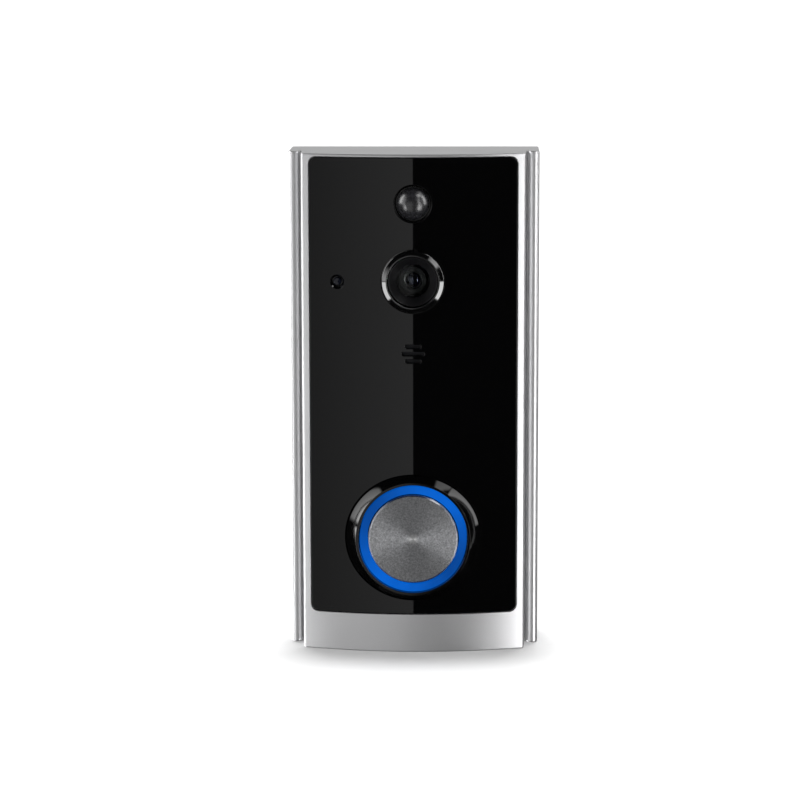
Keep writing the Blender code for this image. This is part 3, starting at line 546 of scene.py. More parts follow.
def tint(tree, factor, first, second):
    """Colour between two hex codes or sRGB triples by a factor."""
    mix = add(tree, "ShaderNodeMix", {6: linear(first), 7: linear(second)}, {0: factor}, data_type="RGBA")
    return mix.outputs[2]


def feed(tree, shader, colour, rough):
    """Links a shader's colour and roughness."""
    tree.links.new(colour, shader.inputs["Base Color"])
    tree.links.new(rough, shader.inputs["Roughness"])


def relief(tree, shader, height, depth, strength=1.0):
    """Bump of a real depth in metres."""
    bump = add(tree, "ShaderNodeBump", {"Strength": strength, "Distance": depth}, {"Height": height})
    tree.links.new(bump.outputs["Normal"], shader.inputs["Normal"])


def math_node(tree, operation, *values, kind="ShaderNodeMath", output=0):
    """A maths node on sockets or constants."""
    node = add(tree, kind, operation=operation)
    for socket, value in zip(node.inputs, values):
        if isinstance(value, (int, float, tuple)):
            socket.default_value = value
        else:
            tree.links.new(value, socket)
    return node.outputs[output]


def vector_node(tree, operation, *values, output="Vector"):
    """A vector maths node on sockets or constants."""
    return math_node(tree, operation, *values, kind="ShaderNodeVectorMath", output=output)


def satin_silver():
    """Metallic paint on moulded PC: fine flake sparkle and a soft, wide sheen."""
    colour = bpy.context.scene.doorbell_housing.colour
    mat, tree, shader = surface("pc_metallic_paint_satin", Metallic=0.82)
    flake = noise(tree, 0.10 * MM, 2.0)
    drift = noise(tree, 14 * MM, 2.0)
    shade = tint(tree, flake, [c * 0.95 for c in colour], [min(c * 1.04, 1.0) for c in colour])
    rough = math_node(tree, "ADD", remap(tree, flake, -0.03, 0.03), remap(tree, drift, 0.34, 0.38))
    feed(tree, shader, shade, rough)
    relief(tree, shader, flake, 0.004 * MM, 0.35)
    return mat


def polished_black(name, colour, low, high, coat=0.0, gloss=0.5):
    """Clear-fronted black: a mirror-like surface with the faintest handling haze."""
    mat, tree, shader = surface(name, IOR=1.49, Coat_Weight=coat, Specular_IOR_Level=gloss)
    haze = noise(tree, 22 * MM, 4.0)
    speck = noise(tree, 0.6 * MM, 2.0)
    shade = tint(tree, speck, [c * 0.8 for c in colour], [c * 1.2 for c in colour])
    feed(tree, shader, shade, remap(tree, haze, low, high))
    return mat


def camera_ring_black():
    """Piano-black PC under a hard coat: two reflecting skins, so its glints are strong."""
    return polished_black("pc_piano_black_hard_coated", [0.01, 0.01, 0.012], 0.03, 0.06, 1.0, 1.0)


def moulded(name, dark, light, grain, rough=(0.42, 0.58), depth=0.010):
    """Moulded plastic, resin, foam or rubber with a fine grain that breaks up its sheen."""
    mat, tree, shader = surface(name, IOR=1.53)
    fine = noise(tree, grain * MM, 3.0, rough=0.6)
    broad = noise(tree, 9 * MM, 2.0)
    feed(tree, shader, tint(tree, broad, dark, light), remap(tree, fine, *rough))
    relief(tree, shader, fine, depth * MM, 0.6)
    return mat


def smoked_dome():
    """Smoked polyethylene with moulded Fresnel facets just under its skin."""
    mat, tree, shader = surface("hdpe_smoked_fresnel", IOR=1.54, Specular_IOR_Level=1.0)
    coords = object_coords(tree)
    size = {"Scale": 1 / (1.15 * MM), "Smoothness": 0.25, "Randomness": 0.15}
    cells = add(tree, "ShaderNodeTexVoronoi", size, {"Vector": coords}, feature="SMOOTH_F1")
    facets = cells.outputs["Distance"]
    haze = noise(tree, 0.5 * MM, 2.0, coords=coords)
    feed(tree, shader, tint(tree, facets, "#26262b", "#0c0c0f"), remap(tree, haze, 0.25, 0.33))
    relief(tree, shader, facets, 0.03 * MM, 0.25)
    return mat


def spun_metal():
    """Lathe-faced aluminium: concentric tool marks that fan the light into cones, and a highlight painted
    white at its centre.
    """
    mat, tree, shader = surface("aluminium_lathe_spun", Metallic=1.0, Anisotropic=0.85,
                                Anisotropic_Rotation=0.25)
    coords = object_coords(tree)
    centred = vector_node(tree, "SUBTRACT", coords, (0.0, 0.0, BUTTON_Z))
    plane = vector_node(tree, "MULTIPLY", centred, (1.0, 0.0, 1.0))
    radius = vector_node(tree, "LENGTH", plane, output="Value")
    around = vector_node(tree, "CROSS_PRODUCT", plane, (0.0, 1.0, 0.0))
    tree.links.new(vector_node(tree, "NORMALIZE", around), shader.inputs["Tangent"])
    rings = add(tree, "ShaderNodeCombineXYZ", links={"X": radius})
    marks = add(tree, "ShaderNodeTexNoise", {"Scale": 1 / (0.09 * MM), "Detail": 3.0, "Roughness": 0.7},
                {"Vector": rings.outputs["Vector"]}).outputs["Fac"]
    grain = noise(tree, 0.32 * MM, 3.0, rough=0.75, coords=coords)
    blend = math_node(tree, "ADD", math_node(tree, "MULTIPLY", marks, 0.4),
                      math_node(tree, "MULTIPLY", grain, 0.6))
    faced = tint(tree, remap(tree, blend, 0.0, 1.0, 0.36, 0.64), "#77787b", "#e2e3e6")
    # Painted highlight: the colour is blended to white within 1.8 mm of the centre, standing in for the glint
    # there.
    middle = remap(tree, radius, 1.0, 0.0, 0.0, 1.8 * MM)
    bright = add(tree, "ShaderNodeMix", {7: linear("#ffffff")}, {0: middle, 6: faced}, data_type="RGBA")
    feed(tree, shader, bright.outputs[2], remap(tree, blend, 0.26, 0.42))
    relief(tree, shader, blend, 0.006 * MM, 0.8)
    return mat


def lit_guide():
    """Milky PMMA light guide, lit blue by four lamps so that it glows unevenly round the ring."""
    settings = bpy.context.scene.doorbell_button
    mat, tree, shader = surface("pmma_diffusing_lit_blue", IOR=1.49, Roughness=0.45,
                                Specular_IOR_Level=0.05)
    coords = object_coords(tree)
    parts = add(tree, "ShaderNodeSeparateXYZ", links={"Vector": coords})
    up = math_node(tree, "SUBTRACT", parts.outputs["Z"], BUTTON_Z)
    turn = math_node(tree, "ARCTAN2", up, parts.outputs["X"])
    twice = math_node(tree, "MULTIPLY", math_node(tree, "SUBTRACT", turn, GLOW_PEAK), 2.0)
    wave = remap(tree, math_node(tree, "COSINE", twice), 0.50, 1.04, -1.0, 1.0)
    cloud = remap(tree, noise(tree, 3 * MM, 2.0, coords=coords), 0.95, 1.05)
    glow = math_node(tree, "MULTIPLY", math_node(tree, "MULTIPLY", wave, cloud), settings.strength)
    shader.inputs["Base Color"].default_value = linear("#02122e")
    shader.inputs["Emission Color"].default_value = linear(settings.glow)
    tree.links.new(glow, shader.inputs["Emission Strength"])
    return mat


def machined(name, dark, light, low, high, size):
    """Metal with fine drawing or plating marks of a size in millimetres."""
    mat, tree, shader = surface(name, Metallic=1.0)
    marks = noise(tree, size * MM, 4.0, 0.65)
    feed(tree, shader, tint(tree, marks, dark, light), remap(tree, marks, low, high))
    relief(tree, shader, marks, 0.002 * MM, 0.5)
    return mat


def window_glass():
    """Glass with an anti-reflection coat, so it hardly bends or mirrors what is behind and before it."""
    mat, tree, shader = surface("glass_anti_reflection_coated", IOR=1.2, Transmission_Weight=1.0,
                                Base_Color=linear("#f4f8f6"))
    tree.links.new(remap(tree, noise(tree, 4 * MM, 2.0), 0.0, 0.02), shader.inputs["Roughness"])
    return mat


def lens_coating():
    """Coated objective glass: dark, with its coating's violet reflection painted in as a sheen that grows
    towards its edge.
    """
    mat, tree, shader = surface("optical_glass_multicoated", IOR=1.7, Coat_Weight=1.0,
                                Coat_Tint=linear("#bfc8ff"))
    # Painted reflection: the coating's violet is mixed into the colour by viewing angle and grows brighter
    # towards the edge.
    rim = add(tree, "ShaderNodeLayerWeight", {"Blend": 0.35}).outputs["Facing"]
    haze = noise(tree, 1.5 * MM, 2.0)
    feed(tree, shader, tint(tree, rim, "#0b0916", "#2b1a4f"), remap(tree, haze, 0.02, 0.05))
    return mat


def solder_mask():
    """Green solder mask over copper tracks, so the tracks stand a little proud and paler."""
    mat, tree, shader = surface("fr4_solder_mask_green", IOR=1.5)
    upright = add(tree, "ShaderNodeMapping", {"Rotation": (math.radians(90), 0, 0)},
                  {"Vector": object_coords(tree)}).outputs["Vector"]
    spacing = {"Scale": 1.0, "Mortar Size": 0.22 * MM, "Brick Width": 4.2 * MM, "Row Height": 1.3 * MM}
    tracks = add(tree, "ShaderNodeTexBrick", spacing, {"Vector": upright}).outputs["Fac"]
    haze = noise(tree, 0.8 * MM)
    feed(tree, shader, tint(tree, tracks, "#0d3b22", "#2f6b3f"), remap(tree, haze, 0.24, 0.36))
    relief(tree, shader, tracks, 0.03 * MM, 0.8)
    return mat


def cell_sleeve():
    """Heat-shrunk PVC sleeve with a paler band and slight waviness from shrinking."""
    mat, tree, shader = surface("pvc_heat_shrink_sleeve", IOR=1.54, Coat_Weight=0.3)
    parts = add(tree, "ShaderNodeSeparateXYZ", links={"Vector": object_coords(tree)})
    band = math_node(tree, "GREATER_THAN", parts.outputs["Z"], 78 * MM)
    wave = noise(tree, 5 * MM, 2.0)
    feed(tree, shader, tint(tree, band, "#2c4d74", "#8a9099"), remap(tree, wave, 0.20, 0.34))
    relief(tree, shader, wave, 0.12 * MM, 0.6)
    return mat


def make_materials():
    """Every finish by the record's slot name."""
    panel = bpy.context.scene.doorbell_panel.colour
    return {
        "silver_housing": satin_silver(),
        "gloss_black_panel": polished_black("pmma_back_printed_black", panel, 0.015, 0.03),
        "gloss_black_trim": polished_black("pc_abs_polished_black", [0.02, 0.02, 0.022], 0.05, 0.08),
        "foam_gasket": moulded("pe_foam_closed_cell", "#1b1b1c", "#2a2a2b", 0.35, (0.85, 0.98), 0.06),
        "dark_sensor_dome": smoked_dome(),
        "satin_black_plastic": moulded("pc_satin_black", "#101012", "#17171a", 0.12, (0.30, 0.42), 0.004),
        "black_plastic": moulded("abs_spark_eroded_black", "#1a1a1c", "#232326", 0.22),
        "white_plastic": moulded("pom_natural_white", "#d9d7d0", "#e6e4de", 0.3, (0.35, 0.5), 0.006),
        "clear_glass": window_glass(),
        "coated_lens_glass": lens_coating(),
        "smoked_light_pipe": polished_black("pc_smoked_light_pipe", [0.05, 0.06, 0.10], 0.06, 0.12),
        "clear_epoxy": moulded("epoxy_cast_clear", "#d8dfe0", "#eef2f0", 0.5, (0.10, 0.2), 0.003),
        "acoustic_mesh": machined("stainless_etched_mesh", "#3b3c3e", "#58595c", 0.35, 0.5, 0.1),
        "blue_light_guide": lit_guide(),
        "spun_metal": spun_metal(),
        "spring_steel": machined("spring_wire_drawn", "#8b8c8c", "#a9aaab", 0.22, 0.34, 0.1),
        "tin_plate": machined("steel_tin_plated", "#a9a9a6", "#c9c9c6", 0.22, 0.38, 0.4),
        "zinc_screw": machined("steel_zinc_plated", "#9a9b9c", "#bdbec0", 0.24, 0.40, 0.3),
        "brass_part": machined("brass_turned", "#a87f3a", "#cfa45a", 0.22, 0.36, 0.2),
        "circuit_board": solder_mask(),
        "cell_sleeve": cell_sleeve(),
        "black_rubber": moulded("silicone_rubber_black", "#161617", "#202021", 0.5, (0.6, 0.78), 0.010),
    }


# ---- Housing ------------------------------------------------------------------------------
def housing_section():
    """Right half of the plan section as [((x, depth), normal)], from the bow's tangent point to the rim."""
    start = FACE_TANGENT
    rise = start / math.sqrt(BOW * BOW - start * start)
    nose_in = WIDTH / 2 - 2 * NOSE_RADIUS
    corners = [(start, bow(start)), (FACE_HALF, bow(start) + rise * (FACE_HALF - start), EDGE_ROUND),
               (FLANK_HALF, GROOVE_FLOOR - 0.1 * MM, 0.08 * MM), (nose_in, GROOVE_FLOOR, 0.08 * MM),
               (nose_in, NOSE_FRONT, NOSE_RADIUS - HAIR), (WIDTH / 2, NOSE_FRONT, NOSE_RADIUS - HAIR),
               (WIDTH / 2, DEPTH, EDGE_ROUND), (SEAT_HALF, DEPTH)]
    return rounded_path(corners, 1.0, 10)


def face_columns():
    """Places across the bowed face, from one tangent point to the other."""
    return [FACE_TANGENT * (2 * i / OUTLINE_STEPS - 1) for i in range(OUTLINE_STEPS + 1)]


def housing_outline():
    """Plan outline in three runs of [((x, depth), normal)]: left side, bowed face and right side."""
    xs = face_columns()[1:-1]
    face = [((x, bow(x)), Vector((x / BOW, -math.sqrt(1 - (x / BOW) ** 2)))) for x in xs]
    right = [(tuple(p), n) for p, n in housing_section()]
    left = [((-x, d), Vector((-n.x, n.y))) for (x, d), n in reversed(right)]
    return left, face, right


def end_rings(outline, height, sign, radius):
    """Fillet between the sides and one flat end, from the side up to the end's plane."""
    rings = []
    steps = 5
    for step in range(steps + 1):
        turn = math.pi / 2 * step / steps
        inset = radius * (1 - math.cos(turn))
        z = height - sign * radius * (1 - math.sin(turn))
        ring = []
        for (x, d), n in outline:
            normal = Vector((n.x * math.cos(turn), n.y * math.cos(turn), sign * math.sin(turn)))
            ring.append(((x - n.x * inset, d - n.y * inset - CREST, z), normal))
        rings.append(ring)
    return rings


def housing_outside(shell, fillet):
    """Sides, end fillets and the flat ends, the bottom one with its two holes."""
    left, face, right = housing_outline()
    for side in (left, right):
        low = [((x, d - CREST, fillet), Vector((n.x, n.y, 0))) for (x, d), n in side]
        high = [((x, d - CREST, HEIGHT - fillet), Vector((n.x, n.y, 0))) for (x, d), n in side]
        shell.strip([low, high], closed=False)
    for height, sign in ((HEIGHT, 1), (0.0, -1)):
        rings = end_rings(left + face + right, height, sign, fillet)
        shell.strip(rings, closed=False)
        rim = []
        for (x, y, _), _ in rings[-1]:
            if not rim or (Vector((x, y)) - Vector(rim[-1])).length > 10 * HAIR:
                rim.append((x, y))
        holes = []
        if sign < 0:
            holes = [offset(loop_circle(x, depth - CREST, radius, corners), 0.0)
                     for x, depth, radius, _, corners, _ in END_HOLES]
        shell.fill(rim, holes, lambda x, y, h=height, s=sign: ((x, y, h), Vector((0, 0, s))))
    for x, depth, radius, top, _, corners in END_HOLES:
        bore = loop_circle(x, depth - CREST, radius, corners)
        shell.strip([[((px, py, z), Vector((-nx, -ny, 0))) for (px, py), (nx, ny) in bore]
                     for z in (0.0, top)])


def rebate_loop():
    """The rebate's outline, a gap wider than the panel."""
    gap = REBATE_GAP
    return loop_rect(-PANEL_HALF - gap, PANEL_HALF + gap, PANEL_LOW - gap, PANEL_HIGH + gap,
                     PANEL_CORNER + gap, 24, 30, 6)


def hollow_ring(half, low, high, corner, depth, bowed, facing):
    """One ring of the housing's hollow, with every ring cut into the same number of lengths."""
    ring = []
    for (x, z), (mx, mz) in loop_rect(-half, half, low, high, corner, 24, 30, 6):
        d = bow(x, depth) if bowed else depth
        ring.append(((x, d - CREST, z), Vector((mx * facing[0], facing[1], mz * facing[0]))))
    return ring


def housing_inside(shell, edge):
    """Rebate for the panel, its ledge, the hollow and the seat for the rear cover."""
    wall = rounded_path([(REBATE_BAND, 0.0), (0.0, 0.0, edge), (0.0, REBATE_BACK)], -1.0, 4)
    shell.sweep(rebate_loop(), wall, bowed=True)
    gap = REBATE_GAP
    rebate = (PANEL_HALF + gap, PANEL_LOW - gap, PANEL_HIGH + gap, PANEL_CORNER + gap)
    window = (LEDGE_HALF, LEDGE_LOW, LEDGE_HIGH, PANEL_CORNER)
    neck = (NECK_HALF, WALL, HEIGHT - WALL, CAVITY_CORNER)
    cavity = (CAVITY_HALF, WALL, HEIGHT - WALL, CAVITY_CORNER)
    seat = (SEAT_HALF, SEAT_WALL, HEIGHT - SEAT_WALL, SEAT_CORNER)
    stations = [(*rebate, REBATE_BACK, True), (*window, REBATE_BACK, True), (*window, LEDGE_BACK, True),
                (*neck, LEDGE_BACK, True), (*neck, NECK_BACK, False), (*cavity, SHOULDER_BACK, False),
                (*cavity, SEAT_DEPTH, False), (*seat, SEAT_DEPTH, False), (*seat, DEPTH, False)]
    forward, inward, back = (0, -1), (-1, 0), (0, 1)
    facings = (forward, inward, back, inward, back, inward, back, inward)
    for near, far, facing in zip(stations, stations[1:], facings):
        shell.strip([hollow_ring(*near, facing), hollow_ring(*far, facing)])
    rim_x, rim_z = WIDTH / 2 - EDGE_ROUND, 0.4 * MM
    rim = [(-rim_x, rim_z), (rim_x, rim_z), (rim_x, HEIGHT - rim_z), (-rim_x, HEIGHT - rim_z)]
    mouth = [(x, z) for (x, _, z), _ in hollow_ring(*stations[-1], inward)]
    shell.fill(rim, [mouth], lambda x, z: ((x, DEPTH - CREST, z), Vector((0, 1, 0))))


def housing_front(shell, fillet):
    """The bowed face round the rebate."""
    low, high, rows = fillet, HEIGHT - fillet, 24
    xs = face_columns()
    zs = [low + (high - low) * i / rows for i in range(1, rows)]
    face = [(x, low) for x in xs] + [(xs[-1], z) for z in zs]
    face += [(x, high) for x in reversed(xs)] + [(xs[0], z) for z in reversed(zs)]
    shell.fill(face, [offset(rebate_loop(), REBATE_BAND)], on_bow(0.0), 3 * MM)


def housing_bosses(shell):
    """Four bosses for the case screws, each with a blind bore."""
    boss = rounded_path([(BOSS_BORE, BOSS_BACK), (BOSS_RADIUS, BOSS_BACK), (BOSS_RADIUS, BOSS_FRONT)], -1.0)
    bore = rounded_path([(BOSS_BORE, BOSS_BACK), (BOSS_BORE, BORE_END), (0.0, BORE_END)], 1.0)
    for side in (-1, 1):
        for z in BOSS_HEIGHTS:
            for path in (boss, bore):
                shell.sweep(loop_circle(side * BOSS_X, z, 0.0, 24), path)


def make_housing():
    """The silver shell, bosses included."""
    settings = bpy.context.scene.doorbell_housing
    shell = Shell()
    housing_outside(shell, settings.end_round)
    housing_inside(shell, settings.rebate_round)
    housing_front(shell, settings.end_round)
    housing_bosses(shell)
    settle(shell.build("housing_shell"), "housing", "silver_housing", "front_housing")


# ---- Front panel --------------------------------------------------------------------------
def panel_openings():
    """Each opening's loop with its edge path in mm: first the band, then the edge and its far end."""
    thick = (PANEL_BACK - PANEL_FRONT) / MM
    pir = [(5.93, 0.0), (5.33, 0.0, 0.06), (4.75, 0.70), (4.75, thick)]
    camera = [(9.35, 0.0), (8.85, 0.0, 0.12), (8.85, thick)]
    sensor = [(2.4, 0.0), (2.03, 0.0, 0.06), (1.45, 0.7), (1.45, thick)]
    slot = [(0.35, 0.0), (0.0, 0.0, 0.2), (0.0, thick)]
    button = [(0.5, 0.0), (0.0, 0.0, 0.10), (FLARE_SLOPE * thick, thick)]
    openings = [(loop_circle(0, PIR_Z, 0, 96), in_mm(pir)), (loop_circle(0, CAMERA_Z, 0, 96), in_mm(camera)),
                (loop_circle(SENSOR_X, SENSOR_Z, 0, 48), in_mm(sensor)),
                (loop_flare(0.3 * MM, 144), in_mm(button))]
    for row, length in enumerate(GRILLE_LENGTHS):
        height = GRILLE_Z + (1 - row) * GRILLE_PITCH
        openings.append((loop_slot(0, height, length, GRILLE_HEIGHT), in_mm(slot)))
    return openings


def below_crest(path, side):
    """An edge path moved back to the panel's front."""
    return [(p + Vector((0, PANEL_FRONT)), n) for p, n in rounded_path(path, side, 5)]


def make_panel():
    """Glossy black front with every opening's edge rounded."""
    settings = bpy.context.scene.doorbell_panel
    thick = PANEL_BACK - PANEL_FRONT
    shell = Shell()
    outline = loop_rect(-PANEL_HALF, PANEL_HALF, PANEL_LOW, PANEL_HIGH, PANEL_CORNER, 40, 40, 10)
    band = 0.5 * MM
    shell.sweep(outline, below_crest([(-band, 0), (0, 0, settings.edge_round), (0, thick)], 1.0), bowed=True)
    fronts, backs = [], []
    for loop, path in panel_openings():
        shell.sweep(loop, below_crest(path, -1.0), bowed=True)
        fronts.append(offset(loop, path[0][0]))
        backs.append(offset(loop, path[-1][0]))
    shell.fill(offset(outline, -band), fronts, on_bow(PANEL_FRONT), settings.mesh_step)
    shell.fill(offset(outline, 0.0), backs, on_bow(PANEL_BACK, 1.0), 2 * settings.mesh_step)
    settle(shell.build("panel"), "housing", "gloss_black_panel", "front_panel")


# ---- Sensors and camera -------------------------------------------------------------------
def make_pir():
    """Motion sensor's dome with its flange."""
    radius = bpy.context.scene.doorbell_optics.dome_radius / MM
    proud, skirt, mouth, inner = 2.55, 4.45, 3.7, 3.9
    centre = radius - proud
    limit = math.asin(skirt / radius)
    flange = [(skirt, centre - radius * math.cos(limit)), (skirt, 2.25), (6.0, 2.25, 0.1), (6.0, 2.95, 0.1),
              (mouth, 2.95)]
    path = ball_arc(radius, centre, limit, 32) + rounded_path(in_mm(flange), 1.0, 4)
    path += ball_arc(inner, centre, math.asin(mouth / inner), 24, hollow=True)
    shell = Shell()
    shell.sweep(loop_circle(0, PIR_Z, 0.0, 96), path)
    settle(shell.build("motion_dome"), "housing", "dark_sensor_dome", "pir_lens")


def make_camera():
    """Camera bezel, hood, window and barrel."""
    bezel = [(7.12, -1.3, 0.12), (7.45, -1.3, 0.12), (8.6, -0.64, 0.25), (8.6, 2.7),
             (10.2, 2.7, 0.05), (10.2, 3.4), (7.3, 3.4), (7.3, 0.4), (7.12, 0.3)]
    hood = [(4.65, 2.5, 0.04), (6.72, -0.3, 0.10), (6.95, 0.0, 0.05), (6.95, 4.2), (5.2, 4.2), (5.2, 2.8),
            (4.65, 2.8)]
    window = [(0, 3.1), (4.95, 3.1, 0.08), (4.95, 3.8, 0.08), (0, 3.8)]
    barrel = [(0, 6.1), (2.25, 6.1), (2.25, 4.6, 0.05), (2.6, 4.45, 0.05), (2.75, 4.3, 0.05),
              (3.2, 4.3, 0.05), (3.2, 4.55, 0.03), (3.6, 4.55, 0.05), (3.6, 10.0), (0, 10.0)]
    turned("camera_trim", "camera_bezel", "gloss_black_trim", bezel, CAMERA_Z, material=camera_ring_black(),
           steps=160, arc=12)
    turned("hood_cone", "lens_hood", "satin_black_plastic", hood, CAMERA_Z)
    turned("cover_glass", "camera_window", "clear_glass", window, CAMERA_Z, closed=False)
    turned("barrel_body", "lens_barrel", "satin_black_plastic", barrel, CAMERA_Z, closed=False)


def make_lens():
    """The camera's front lens, crowned towards the window."""
    ball, rim, crown = 3.2, 1.95, 4.6
    path = ball_arc(ball, crown + ball, math.asin(rim / ball), 16)
    path += rounded_path(in_mm([(rim, 5.2), (rim, 5.8), (0.0, 5.8)]), 1.0)
    shell = Shell()
    shell.sweep(loop_circle(0, CAMERA_Z, 0.0, 64), path)
    settle(shell.build("objective"), "housing", "coated_lens_glass", "front_lens")


def make_light_pipe():
    """Light pipe behind the small hole."""
    tip = bow(SENSOR_X, PANEL_FRONT) / MM + 0.9
    pipe = [(0, tip), (1.15, tip + 0.05, 0.35), (1.15, 4.8), (1.8, 4.8), (1.8, 5.2), (0, 5.2)]
    turned("light_guide_pin", "light_pipe", "smoked_light_pipe", pipe, SENSOR_Z, SENSOR_X, closed=False,
           steps=48)


# ---- Button -------------------------------------------------------------------------------
def make_button():
    """Flared bezel, lit ring and spun cap."""
    radius = bpy.context.scene.doorbell_button.cap_radius / MM
    bezel = [(15.3, 3.6), (15.3, -2.1, 0.12), (16.0, -2.1, 0.14), (19.22, 2.9, 0.1), (19.22, 3.6)]
    ring = [(12.8, 3.4), (12.8, -1.55, 0.18), (14.98, -1.55, 0.18), (14.98, 3.4)]
    cap = [(0, -1.95), (radius - 0.4, -1.95, 0.05), (radius, -1.6, 0.05), (radius, -0.95), (0, -0.95)]
    turned("button_surround", "button_bezel", "gloss_black_trim", bezel, BUTTON_Z, steps=192, arc=8)
    turned("glow_ring", "light_ring", "blue_light_guide", ring, BUTTON_Z, steps=192)
    turned("press_cap", "button_cap", "spun_metal", cap, BUTTON_Z, body="button", closed=False, steps=192)


def make_return_spring():
    """The button's return spring, a smooth-shaded copy of its CAD coil."""
    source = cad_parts["button_spring"]
    mesh = source.data.copy()
    mesh.transform(source.matrix_world)
    mesh.shade_smooth()
    obj = settle(new_object("return_spring", mesh), "housing", "spring_steel", "button_spring")
    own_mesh(obj)


# ---- Repeated details ---------------------------------------------------------------------
def new_group(name, inputs):
    """An empty geometry node group with named inputs and one geometry output."""
    group = bpy.data.node_groups.new(name, "GeometryNodeTree")
    for label, kind in inputs:
        group.interface.new_socket(label, in_out="INPUT", socket_type=kind)
    group.interface.new_socket("Geometry", in_out="OUTPUT", socket_type="NodeSocketGeometry")
    return group, group.nodes.new("NodeGroupInput"), group.nodes.new("NodeGroupOutput")


def bake_group(name, group, values):
    """Runs a node group on an empty mesh and keeps the result as a plain mesh object."""
    host = new_object(name + "_host", bpy.data.meshes.new(name + "_host"))
    mod = host.modifiers.new("repeat", "NODES")
    mod.node_group = group
    sockets = {s.name: s.identifier for s in group.interface.items_tree if s.in_out == "INPUT"}
    for label, value in values.items():
        mod[sockets[label]] = value
    bpy.context.view_layer.update()
    graph = bpy.context.evaluated_depsgraph_get()
    mesh = bpy.data.meshes.new_from_object(host.evaluated_get(graph))
    mesh.name = name
    bpy.data.objects.remove(host)
    return new_object(name, mesh)


def finish_repeat(group, points, given, out):
    """Puts the tile on each point, makes it real and gives it its material."""
    tile = add(group, "GeometryNodeObjectInfo", links={"Object": given.outputs["Tile"]})
    placed = add(group, "GeometryNodeInstanceOnPoints",
                 links={"Points": points, "Instance": tile.outputs["Geometry"]})
    real = add(group, "GeometryNodeRealizeInstances", links={"Geometry": placed.outputs["Instances"]})
    done = add(group, "GeometryNodeSetMaterial",
               links={"Geometry": real.outputs["Geometry"], "Material": given.outputs["Material"]})
    group.links.new(done.outputs["Geometry"], out.inputs["Geometry"])


def hex_tile(pitch):
    """Hexagonal tile of plate with one round hole, centred on the origin."""
    shell = Shell()
    reach = pitch / math.sqrt(3)
    outer = [(reach * math.sin(math.pi * i / 3), reach * math.cos(math.pi * i / 3)) for i in range(6)]
    hole = loop_circle(0, 0, pitch * 0.3, 12)
    for y, facing in ((0.0, -1), (MESH_THICK, 1)):
        shell.fill(outer, [offset(hole, 0.0)], lambda x, z, y=y, f=facing: ((x, y, z), Vector((0, f, 0))))
    rings = [[((x, y, z), Vector((-nx, 0, -nz))) for (x, z), (nx, nz) in hole] for y in (0.0, MESH_THICK)]
    shell.strip(rings)
    return shell.build("hex_tile")


def mesh_group():
    """Hexagonal tiles on a staggered grid, kept inside a radius."""
    inputs = [("Pitch", "NodeSocketFloat"), ("Radius", "NodeSocketFloat"), ("Centre", "NodeSocketVector"),
              ("Tile", "NodeSocketObject"), ("Material", "NodeSocketMaterial")]
    group, given, out = new_group("perforated_mesh", inputs)
    span = math_node(group, "MULTIPLY", given.outputs["Pitch"], MESH_TILES - 1.0)
    rise = math_node(group, "MULTIPLY", span, math.sqrt(3) / 2)
    grid = add(group, "GeometryNodeMeshGrid", {"Vertices X": MESH_TILES, "Vertices Y": MESH_TILES},
               {"Size X": span, "Size Y": rise})
    place = add(group, "GeometryNodeInputPosition")
    parts = add(group, "ShaderNodeSeparateXYZ", links={0: place.outputs[0]})
    index = add(group, "GeometryNodeInputIndex")
    row = math_node(group, "MODULO", index.outputs[0], float(MESH_TILES))
    odd = math_node(group, "MODULO", row, 2.0)
    shift = math_node(group, "MULTIPLY", math_node(group, "MULTIPLY", odd, 0.5), given.outputs["Pitch"])
    level = add(group, "ShaderNodeCombineXYZ",
                links={"X": math_node(group, "ADD", parts.outputs["X"], shift), "Z": parts.outputs["Y"]})
    moved = add(group, "GeometryNodeSetPosition",
                links={"Geometry": grid.outputs["Mesh"], "Position": level.outputs[0]})
    reach = add(group, "ShaderNodeVectorMath", links={0: add(group, "GeometryNodeInputPosition").outputs[0]},
                operation="LENGTH")
    far = add(group, "FunctionNodeCompare", data_type="FLOAT", operation="GREATER_THAN",
              links={0: reach.outputs["Value"], 1: given.outputs["Radius"]})
    kept = add(group, "GeometryNodeDeleteGeometry",
               links={"Geometry": moved.outputs[0], "Selection": far.outputs[0]})
    at = add(group, "GeometryNodeSetPosition",
             links={"Geometry": kept.outputs[0], "Offset": given.outputs["Centre"]})
    finish_repeat(group, at.outputs[0], given, out)
    return group


def make_speaker_mesh():
    """Etched mesh behind the three slots."""
    settings = bpy.context.scene.doorbell_details
    tile = hex_tile(settings.mesh_pitch)
    values = {"Pitch": settings.mesh_pitch, "Radius": MESH_RADIUS,
              "Centre": (0.0, MESH_DEPTH - CREST, GRILLE_Z), "Tile": tile,
              "Material": FINISH["acoustic_mesh"]}
    obj = bake_group("acoustic_screen", mesh_group(), values)
    bpy.data.objects.remove(tile)
    settle(obj, "housing", "acoustic_mesh", "speaker_mesh")


def ridge_bar(width, height, rise):
    """One rounded ridge lying along X, centred on the origin."""
    shell = Shell()
    loop = loop_slot(0, 0, width, height, 8)
    path = rounded_path([(0.0, rise * 0.2), (0.0, rise, rise * 0.7), (-height * 0.45, rise)], -1.0, 5)
    rings = []
    for (u, d), (nu, nd) in path:
        rings.append([((x + mx * u, d, z + mz * u), Vector((mx * nu, nd, mz * nu)))
                      for (x, z), (mx, mz) in loop])
    shell.strip(rings)
    top = [(x, z) for (x, _, z), _ in rings[-1]]
    shell.fill(top, [], lambda x, z: ((x, rise, z), Vector((0, 1, 0))))
    return shell.build("ridge_bar")


